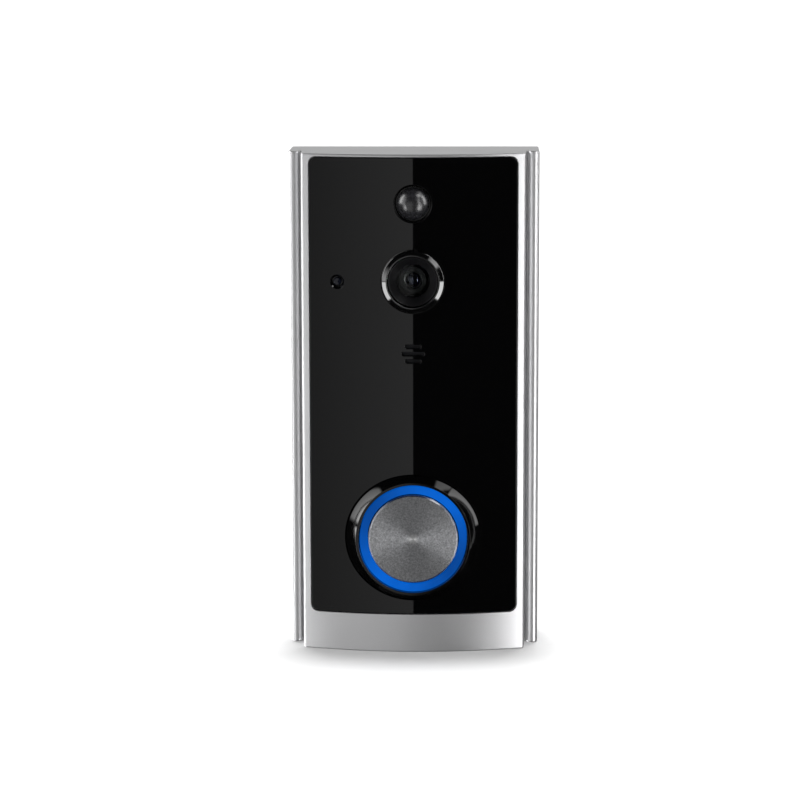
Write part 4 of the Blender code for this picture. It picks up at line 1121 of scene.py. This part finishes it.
def ridge_group():
    """Ridges in a row up the battery cover."""
    inputs = [("Count", "NodeSocketInt"), ("Start", "NodeSocketVector"), ("Step", "NodeSocketVector"),
              ("Tile", "NodeSocketObject"), ("Material", "NodeSocketMaterial")]
    group, given, out = new_group("grip_ridges", inputs)
    line = add(group, "GeometryNodeMeshLine",
               links={"Count": given.outputs["Count"], "Start Location": given.outputs["Start"],
                      "Offset": given.outputs["Step"]})
    finish_repeat(group, line.outputs["Mesh"], given, out)
    return group


def make_grip():
    """Raised ridges above the battery cover's scoop."""
    settings = bpy.context.scene.doorbell_details
    tile = ridge_bar(GRIP_WIDTH, GRIP_HEIGHT, GRIP_RISE)
    values = {"Count": settings.grip_count, "Start": (0.0, GRIP_DEPTH - CREST, GRIP_LOW),
              "Step": (0.0, 0.0, settings.grip_pitch), "Tile": tile, "Material": FINISH["black_plastic"]}
    obj = bake_group("battery_cover_grip", ridge_group(), values)
    bpy.data.objects.remove(tile)
    settle(obj, "battery_lid", "black_plastic")


# ---- Pieces that keep their CAD shape -----------------------------------------------------
EASED = (
    ("wall_bracket", 0.25, "bracket", "black_plastic"),
    ("battery_cover", 0.25, "battery_lid", "black_plastic"),
    ("rear_cover", 0.15, "housing", "black_plastic"),
    ("usb_flap", 0.12, "port_flap", "black_rubber"),
    ("reset_button", 0.12, "reset_key", "black_rubber"),
    ("terminal_block", 0.15, "housing", "black_plastic"),
)


NODE_SLOTS = {
    "silver_housing": ("front_housing",),
    "gloss_black_panel": ("front_panel",),
    "gloss_black_trim": ("camera_bezel", "button_bezel"),
    "dark_sensor_dome": ("pir_lens",),
    "satin_black_plastic": ("lens_hood", "lens_barrel"),
    "clear_glass": ("camera_window",),
    "coated_lens_glass": ("front_lens",),
    "smoked_light_pipe": ("light_pipe",),
    "blue_light_guide": ("light_ring",),
    "spun_metal": ("button_cap",),
    "acoustic_mesh": ("speaker_mesh",),
    "black_plastic": ("pir_collar", "camera_holder", "speaker", "button_carrier", "switch_body",
                      "reset_switch", "board_header", "wifi_antenna"),
    "white_plastic": ("switch_plunger",),
    "clear_epoxy": ("light_sensor", "ring_led_1", "ring_led_2", "ring_led_3", "ring_led_4",
                    "infrared_led_left", "infrared_led_right"),
    "foam_gasket": ("panel_gasket",),
    "black_rubber": ("rear_seal",),
    "spring_steel": ("button_spring", "battery_spring_1", "battery_spring_2"),
    "tin_plate": ("pir_sensor", "processor_shield", "microphone", "usb_port", "battery_contact"),
    "zinc_screw": ("board_screw_left", "board_screw_right", "case_screw_bottom_left",
                   "case_screw_bottom_right", "case_screw_top_left", "case_screw_top_right",
                   "security_screw"),
    "brass_part": ("terminal_screw_1", "terminal_screw_2"),
    "circuit_board": ("main_board", "power_board"),
    "cell_sleeve": ("battery_1", "battery_2"),
}


def finish_nodes():
    """Softened copies of the outer CAD pieces, and materials for every node."""
    for node, width, body, slot in EASED:
        eased_copy(node, width * MM, body, slot)
    slots = {node: slot for slot, nodes in NODE_SLOTS.items() for node in nodes}
    slots.update({node: slot for node, _, _, slot in EASED})
    missing = set(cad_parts) - set(slots)
    if missing:
        raise RuntimeError(f"nodes without a material: {sorted(missing)}")
    for node, slot in slots.items():
        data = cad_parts[node].data
        data.materials.clear()
        data.materials.append(FINISH[slot])


# ---- Stage --------------------------------------------------------------------------------
CARDS = (
    # name, azimuths and elevations in degrees, glow at low left, low right, high left and high right,
    # soft widths of the left, right, low and high edges in degrees
    ("card_left_front", (-47, -1.35), (-55, 22), (0.26, 0.53, 0.26, 0.53), (3, 0.0, 8, 8)),
    ("card_left", (-78, -54), (-5, 50), (2.2, 2.0, 1.1, 0.9), (4, 8, 0.5, 14)),
    ("card_left_low", (-66, -49), (-38, -5), (4.6, 4.6, 4.6, 4.6), (3, 3, 4, 0.5)),
    ("card_left_rear", (-124, -80), (0, 47), (4.8, 4.8, 4.8, 4.8), (4, 4, 5, 3)),
    ("card_left_side", (-140, -101), (-60, -1), (6.0, 6.0, 6.0, 6.0), (4, 6, 5, 3)),
    ("card_right", (38, 54), (-40, 46), (5.8, 5.8, 1.4, 1.0), (1.5, 3, 6, 12)),
    ("card_right_low", (54, 66), (-38, -3), (5.0, 5.0, 5.0, 5.0), (0.5, 4, 4, 3)),
    ("card_right_rear", (80, 101), (-3, 44), (4.8, 4.8, 4.8, 4.8), (4, 5, 2, 0.5)),
    ("card_top", (42, 88), (44, 62), (3.6, 4.2, 3.6, 4.2), (10, 6, 0.5, 3)),
    ("card_back", (145, 220), (-5, 34), (0.56, 0.56, 0.56, 0.56), (10, 10, 6, 10)),
)


SUN_SPREAD = math.radians(9)
SUN_TILT = math.radians(-6)
STUDIO_DARK = 0.012          # what the reflections see between the cards
VIEW_PLACE = (0.019556, -0.831242, 0.205189)
VIEW_YAW = math.radians(-1.624)
VIEW_PITCH = math.radians(9.263)
VIEW_ROLL = math.radians(-0.121)


def smooth_edge(distance, width):
    """0 at a card's edge, 1 once a soft width inside it."""
    if width <= 0:
        return 1.0
    t = max(0.0, min(1.0, distance / width))
    return t * t * (3 - 2 * t)


def glow_material():
    """Soft light of a diffusing card, as bright as its painted glow."""
    mat = bpy.data.materials.new("diffusion_cloth_lit")
    mat.use_nodes = True
    tree = mat.node_tree
    tree.nodes.clear()
    glow = add(tree, "ShaderNodeAttribute", attribute_name="glow")
    light = add(tree, "ShaderNodeEmission", links={"Strength": glow.outputs["Fac"]})
    add(tree, "ShaderNodeOutputMaterial", links={"Surface": light.outputs["Emission"]})
    return mat


def make_card(name, azimuths, elevations, glow, soft, material, distance):
    """A curved reflector card round the object; azimuth 0 lies straight in front."""
    points = []
    levels = []
    across, up = 48, 32
    for i in range(across + 1):
        for j in range(up + 1):
            a = azimuths[0] + (azimuths[1] - azimuths[0]) * i / across
            e = elevations[0] + (elevations[1] - elevations[0]) * j / up
            ra, re = math.radians(a), math.radians(e)
            points.append((distance * math.sin(ra) * math.cos(re), -distance * math.cos(ra) * math.cos(re),
                           HEIGHT / 2 + distance * math.sin(re)))
            low = glow[0] + (glow[1] - glow[0]) * i / across
            high = glow[2] + (glow[3] - glow[2]) * i / across
            level = low + (high - low) * j / up
            level *= smooth_edge(a - azimuths[0], soft[0]) * smooth_edge(azimuths[1] - a, soft[1])
            level *= smooth_edge(e - elevations[0], soft[2]) * smooth_edge(elevations[1] - e, soft[3])
            levels.append(level)
    faces = [(i * (up + 1) + j, (i + 1) * (up + 1) + j, (i + 1) * (up + 1) + j + 1, i * (up + 1) + j + 1)
             for i in range(across) for j in range(up)]
    mesh = bpy.data.meshes.new(name)
    mesh.from_pydata(points, [], faces)
    layer = mesh.attributes.new("glow", "FLOAT", "POINT")
    layer.data.foreach_set("value", levels)
    mesh.materials.append(material)
    obj = new_object(name, mesh)
    obj.visible_camera = False
    obj.visible_diffuse = False
    obj.visible_shadow = False
    return obj


def make_floor():
    """Matt white floor that takes only the soft contact shadow."""
    mesh = bpy.data.meshes.new("floor")
    reach = 20.0
    corners = [(-reach, -reach, 0), (reach, -reach, 0), (reach, reach, 0), (-reach, reach, 0)]
    mesh.from_pydata(corners, [], [(0, 1, 2, 3)])
    floor = new_object("floor", mesh)
    mat, tree, shader = surface("paper_backdrop_white", Roughness=1.0, IOR=1.0)
    tree.links.new(tint(tree, noise(tree, 8 * MM, 2.0), "#f6f6f6", "#fbfbfb"), shader.inputs["Base Color"])
    mesh.materials.append(mat)
    floor.visible_glossy = False
    floor.visible_transmission = False
    floor.visible_shadow = False
    return floor


def make_overhead(strength):
    """Soft sun almost overhead, whose shadow falls just in front of the doorbell."""
    data = bpy.data.lights.new("overhead", "SUN")
    data.angle = SUN_SPREAD
    data.energy = strength
    lamp = new_object("overhead", data)
    lamp.rotation_euler = (SUN_TILT, 0.0, 0.0)
    lamp.visible_glossy = False
    return lamp


def make_world(ambient):
    """White surroundings for the floor, and a dark studio in the reflections."""
    world = bpy.data.worlds.new("studio")
    bpy.context.scene.world = world
    world.use_nodes = True
    tree = world.node_tree
    tree.nodes.clear()
    path = add(tree, "ShaderNodeLightPath")
    soft = math_node(tree, "MULTIPLY", path.outputs["Is Diffuse Ray"], ambient)
    white = math_node(tree, "MAXIMUM", soft, path.outputs["Is Camera Ray"])
    level = math_node(tree, "MAXIMUM", white, STUDIO_DARK)
    sky = add(tree, "ShaderNodeBackground", {"Color": (1, 1, 1, 1)}, {"Strength": level})
    add(tree, "ShaderNodeOutputWorld", links={"Surface": sky.outputs["Background"]})


def make_camera_view(focal):
    """Camera a little above and to the right of the doorbell's middle."""
    data = bpy.data.cameras.new("view")
    data.lens = focal
    data.sensor_width = 36.0
    data.clip_end = 100.0
    view = new_object("view", data)
    turn = Matrix.Rotation(-VIEW_YAW, 4, "Z") @ Matrix.Rotation(math.pi / 2 - VIEW_PITCH, 4, "X")
    turn = turn @ Matrix.Rotation(VIEW_ROLL, 4, "Z")
    view.matrix_world = Matrix.Translation(VIEW_PLACE) @ turn
    bpy.context.scene.camera = view


# ---- Operators ----------------------------------------------------------------------------
class DOORBELL_OT_stage(bpy.types.Operator):
    """Make the floor, reflector cards, surroundings and camera."""

    bl_idname = "doorbell.stage"
    bl_label = "Build Stage"

    def execute(self, context):
        settings = context.scene.doorbell_stage
        material = glow_material()
        made = [make_card(*card, material, settings.stand_off) for card in CARDS]
        made.append(make_floor())
        made.append(make_overhead(settings.overhead))
        make_world(settings.ambient)
        make_camera_view(settings.focal)
        context.scene.view_settings.view_transform = "Standard"
        return {"FINISHED"}


class DOORBELL_OT_housing(bpy.types.Operator):
    """Make the silver housing shell."""

    bl_idname = "doorbell.housing"
    bl_label = "Build Housing"

    def execute(self, context):
        make_housing()
        return {"FINISHED"}


class DOORBELL_OT_panel(bpy.types.Operator):
    """Make the black front panel."""

    bl_idname = "doorbell.panel"
    bl_label = "Build Front Panel"

    def execute(self, context):
        make_panel()
        return {"FINISHED"}


class DOORBELL_OT_optics(bpy.types.Operator):
    """Make the motion sensor's dome, the camera and the light pipe."""

    bl_idname = "doorbell.optics"
    bl_label = "Build Sensors and Camera"

    def execute(self, context):
        make_pir()
        make_camera()
        make_lens()
        make_light_pipe()
        return {"FINISHED"}


class DOORBELL_OT_button(bpy.types.Operator):
    """Make the button's surround, lit ring, cap and return spring."""

    bl_idname = "doorbell.button"
    bl_label = "Build Button"

    def execute(self, context):
        make_button()
        make_return_spring()
        return {"FINISHED"}


class DOORBELL_OT_details(bpy.types.Operator):
    """Make the speaker mesh and the grip ridges."""

    bl_idname = "doorbell.details"
    bl_label = "Build Repeated Details"

    def execute(self, context):
        make_speaker_mesh()
        make_grip()
        return {"FINISHED"}


class DOORBELL_OT_nodes(bpy.types.Operator):
    """Soften the rear pieces and give every remaining piece its material."""

    bl_idname = "doorbell.nodes"
    bl_label = "Finish Remaining Pieces"

    def execute(self, context):
        finish_nodes()
        return {"FINISHED"}


class DOORBELL_PT_sidebar(bpy.types.Panel):
    """Settings and build buttons."""

    bl_idname = "DOORBELL_PT_sidebar"
    bl_label = "Video Doorbell"
    bl_space_type = "VIEW_3D"
    bl_region_type = "UI"
    bl_category = "Doorbell"

    def draw(self, context):
        layout = self.layout
        for name, group in SETTINGS.items():
            box = layout.box()
            box.label(text=name.title())
            settings = getattr(context.scene, "doorbell_" + name)
            for key in group.__annotations__:
                box.prop(settings, key)
        for item in OPERATORS:
            layout.operator(item.bl_idname)


SETTINGS = {"housing": HousingSettings, "panel": PanelSettings, "optics": OpticsSettings,
            "button": ButtonSettings, "details": DetailSettings, "stage": StageSettings}
OPERATORS = (DOORBELL_OT_stage, DOORBELL_OT_housing, DOORBELL_OT_panel, DOORBELL_OT_optics,
             DOORBELL_OT_button, DOORBELL_OT_details, DOORBELL_OT_nodes)


def register():
    """Registers the classes and hangs the settings on the scene."""
    for item in (*SETTINGS.values(), *OPERATORS, DOORBELL_PT_sidebar):
        bpy.utils.register_class(item)
    for name, group in SETTINGS.items():
        setattr(bpy.types.Scene, "doorbell_" + name, bpy.props.PointerProperty(type=group))


def unregister():
    """Takes the settings and classes away again."""
    for name in SETTINGS:
        delattr(bpy.types.Scene, "doorbell_" + name)
    for item in (DOORBELL_PT_sidebar, *reversed(OPERATORS), *reversed(SETTINGS.values())):
        bpy.utils.unregister_class(item)


def main():
    """Builds everything in order."""
    register()
    FINISH.update(make_materials())
    bpy.ops.doorbell.stage()
    bpy.ops.doorbell.housing()
    bpy.ops.doorbell.panel()
    bpy.ops.doorbell.optics()
    bpy.ops.doorbell.button()
    bpy.ops.doorbell.details()
    bpy.ops.doorbell.nodes()


if __name__ == "__main__":
    main()
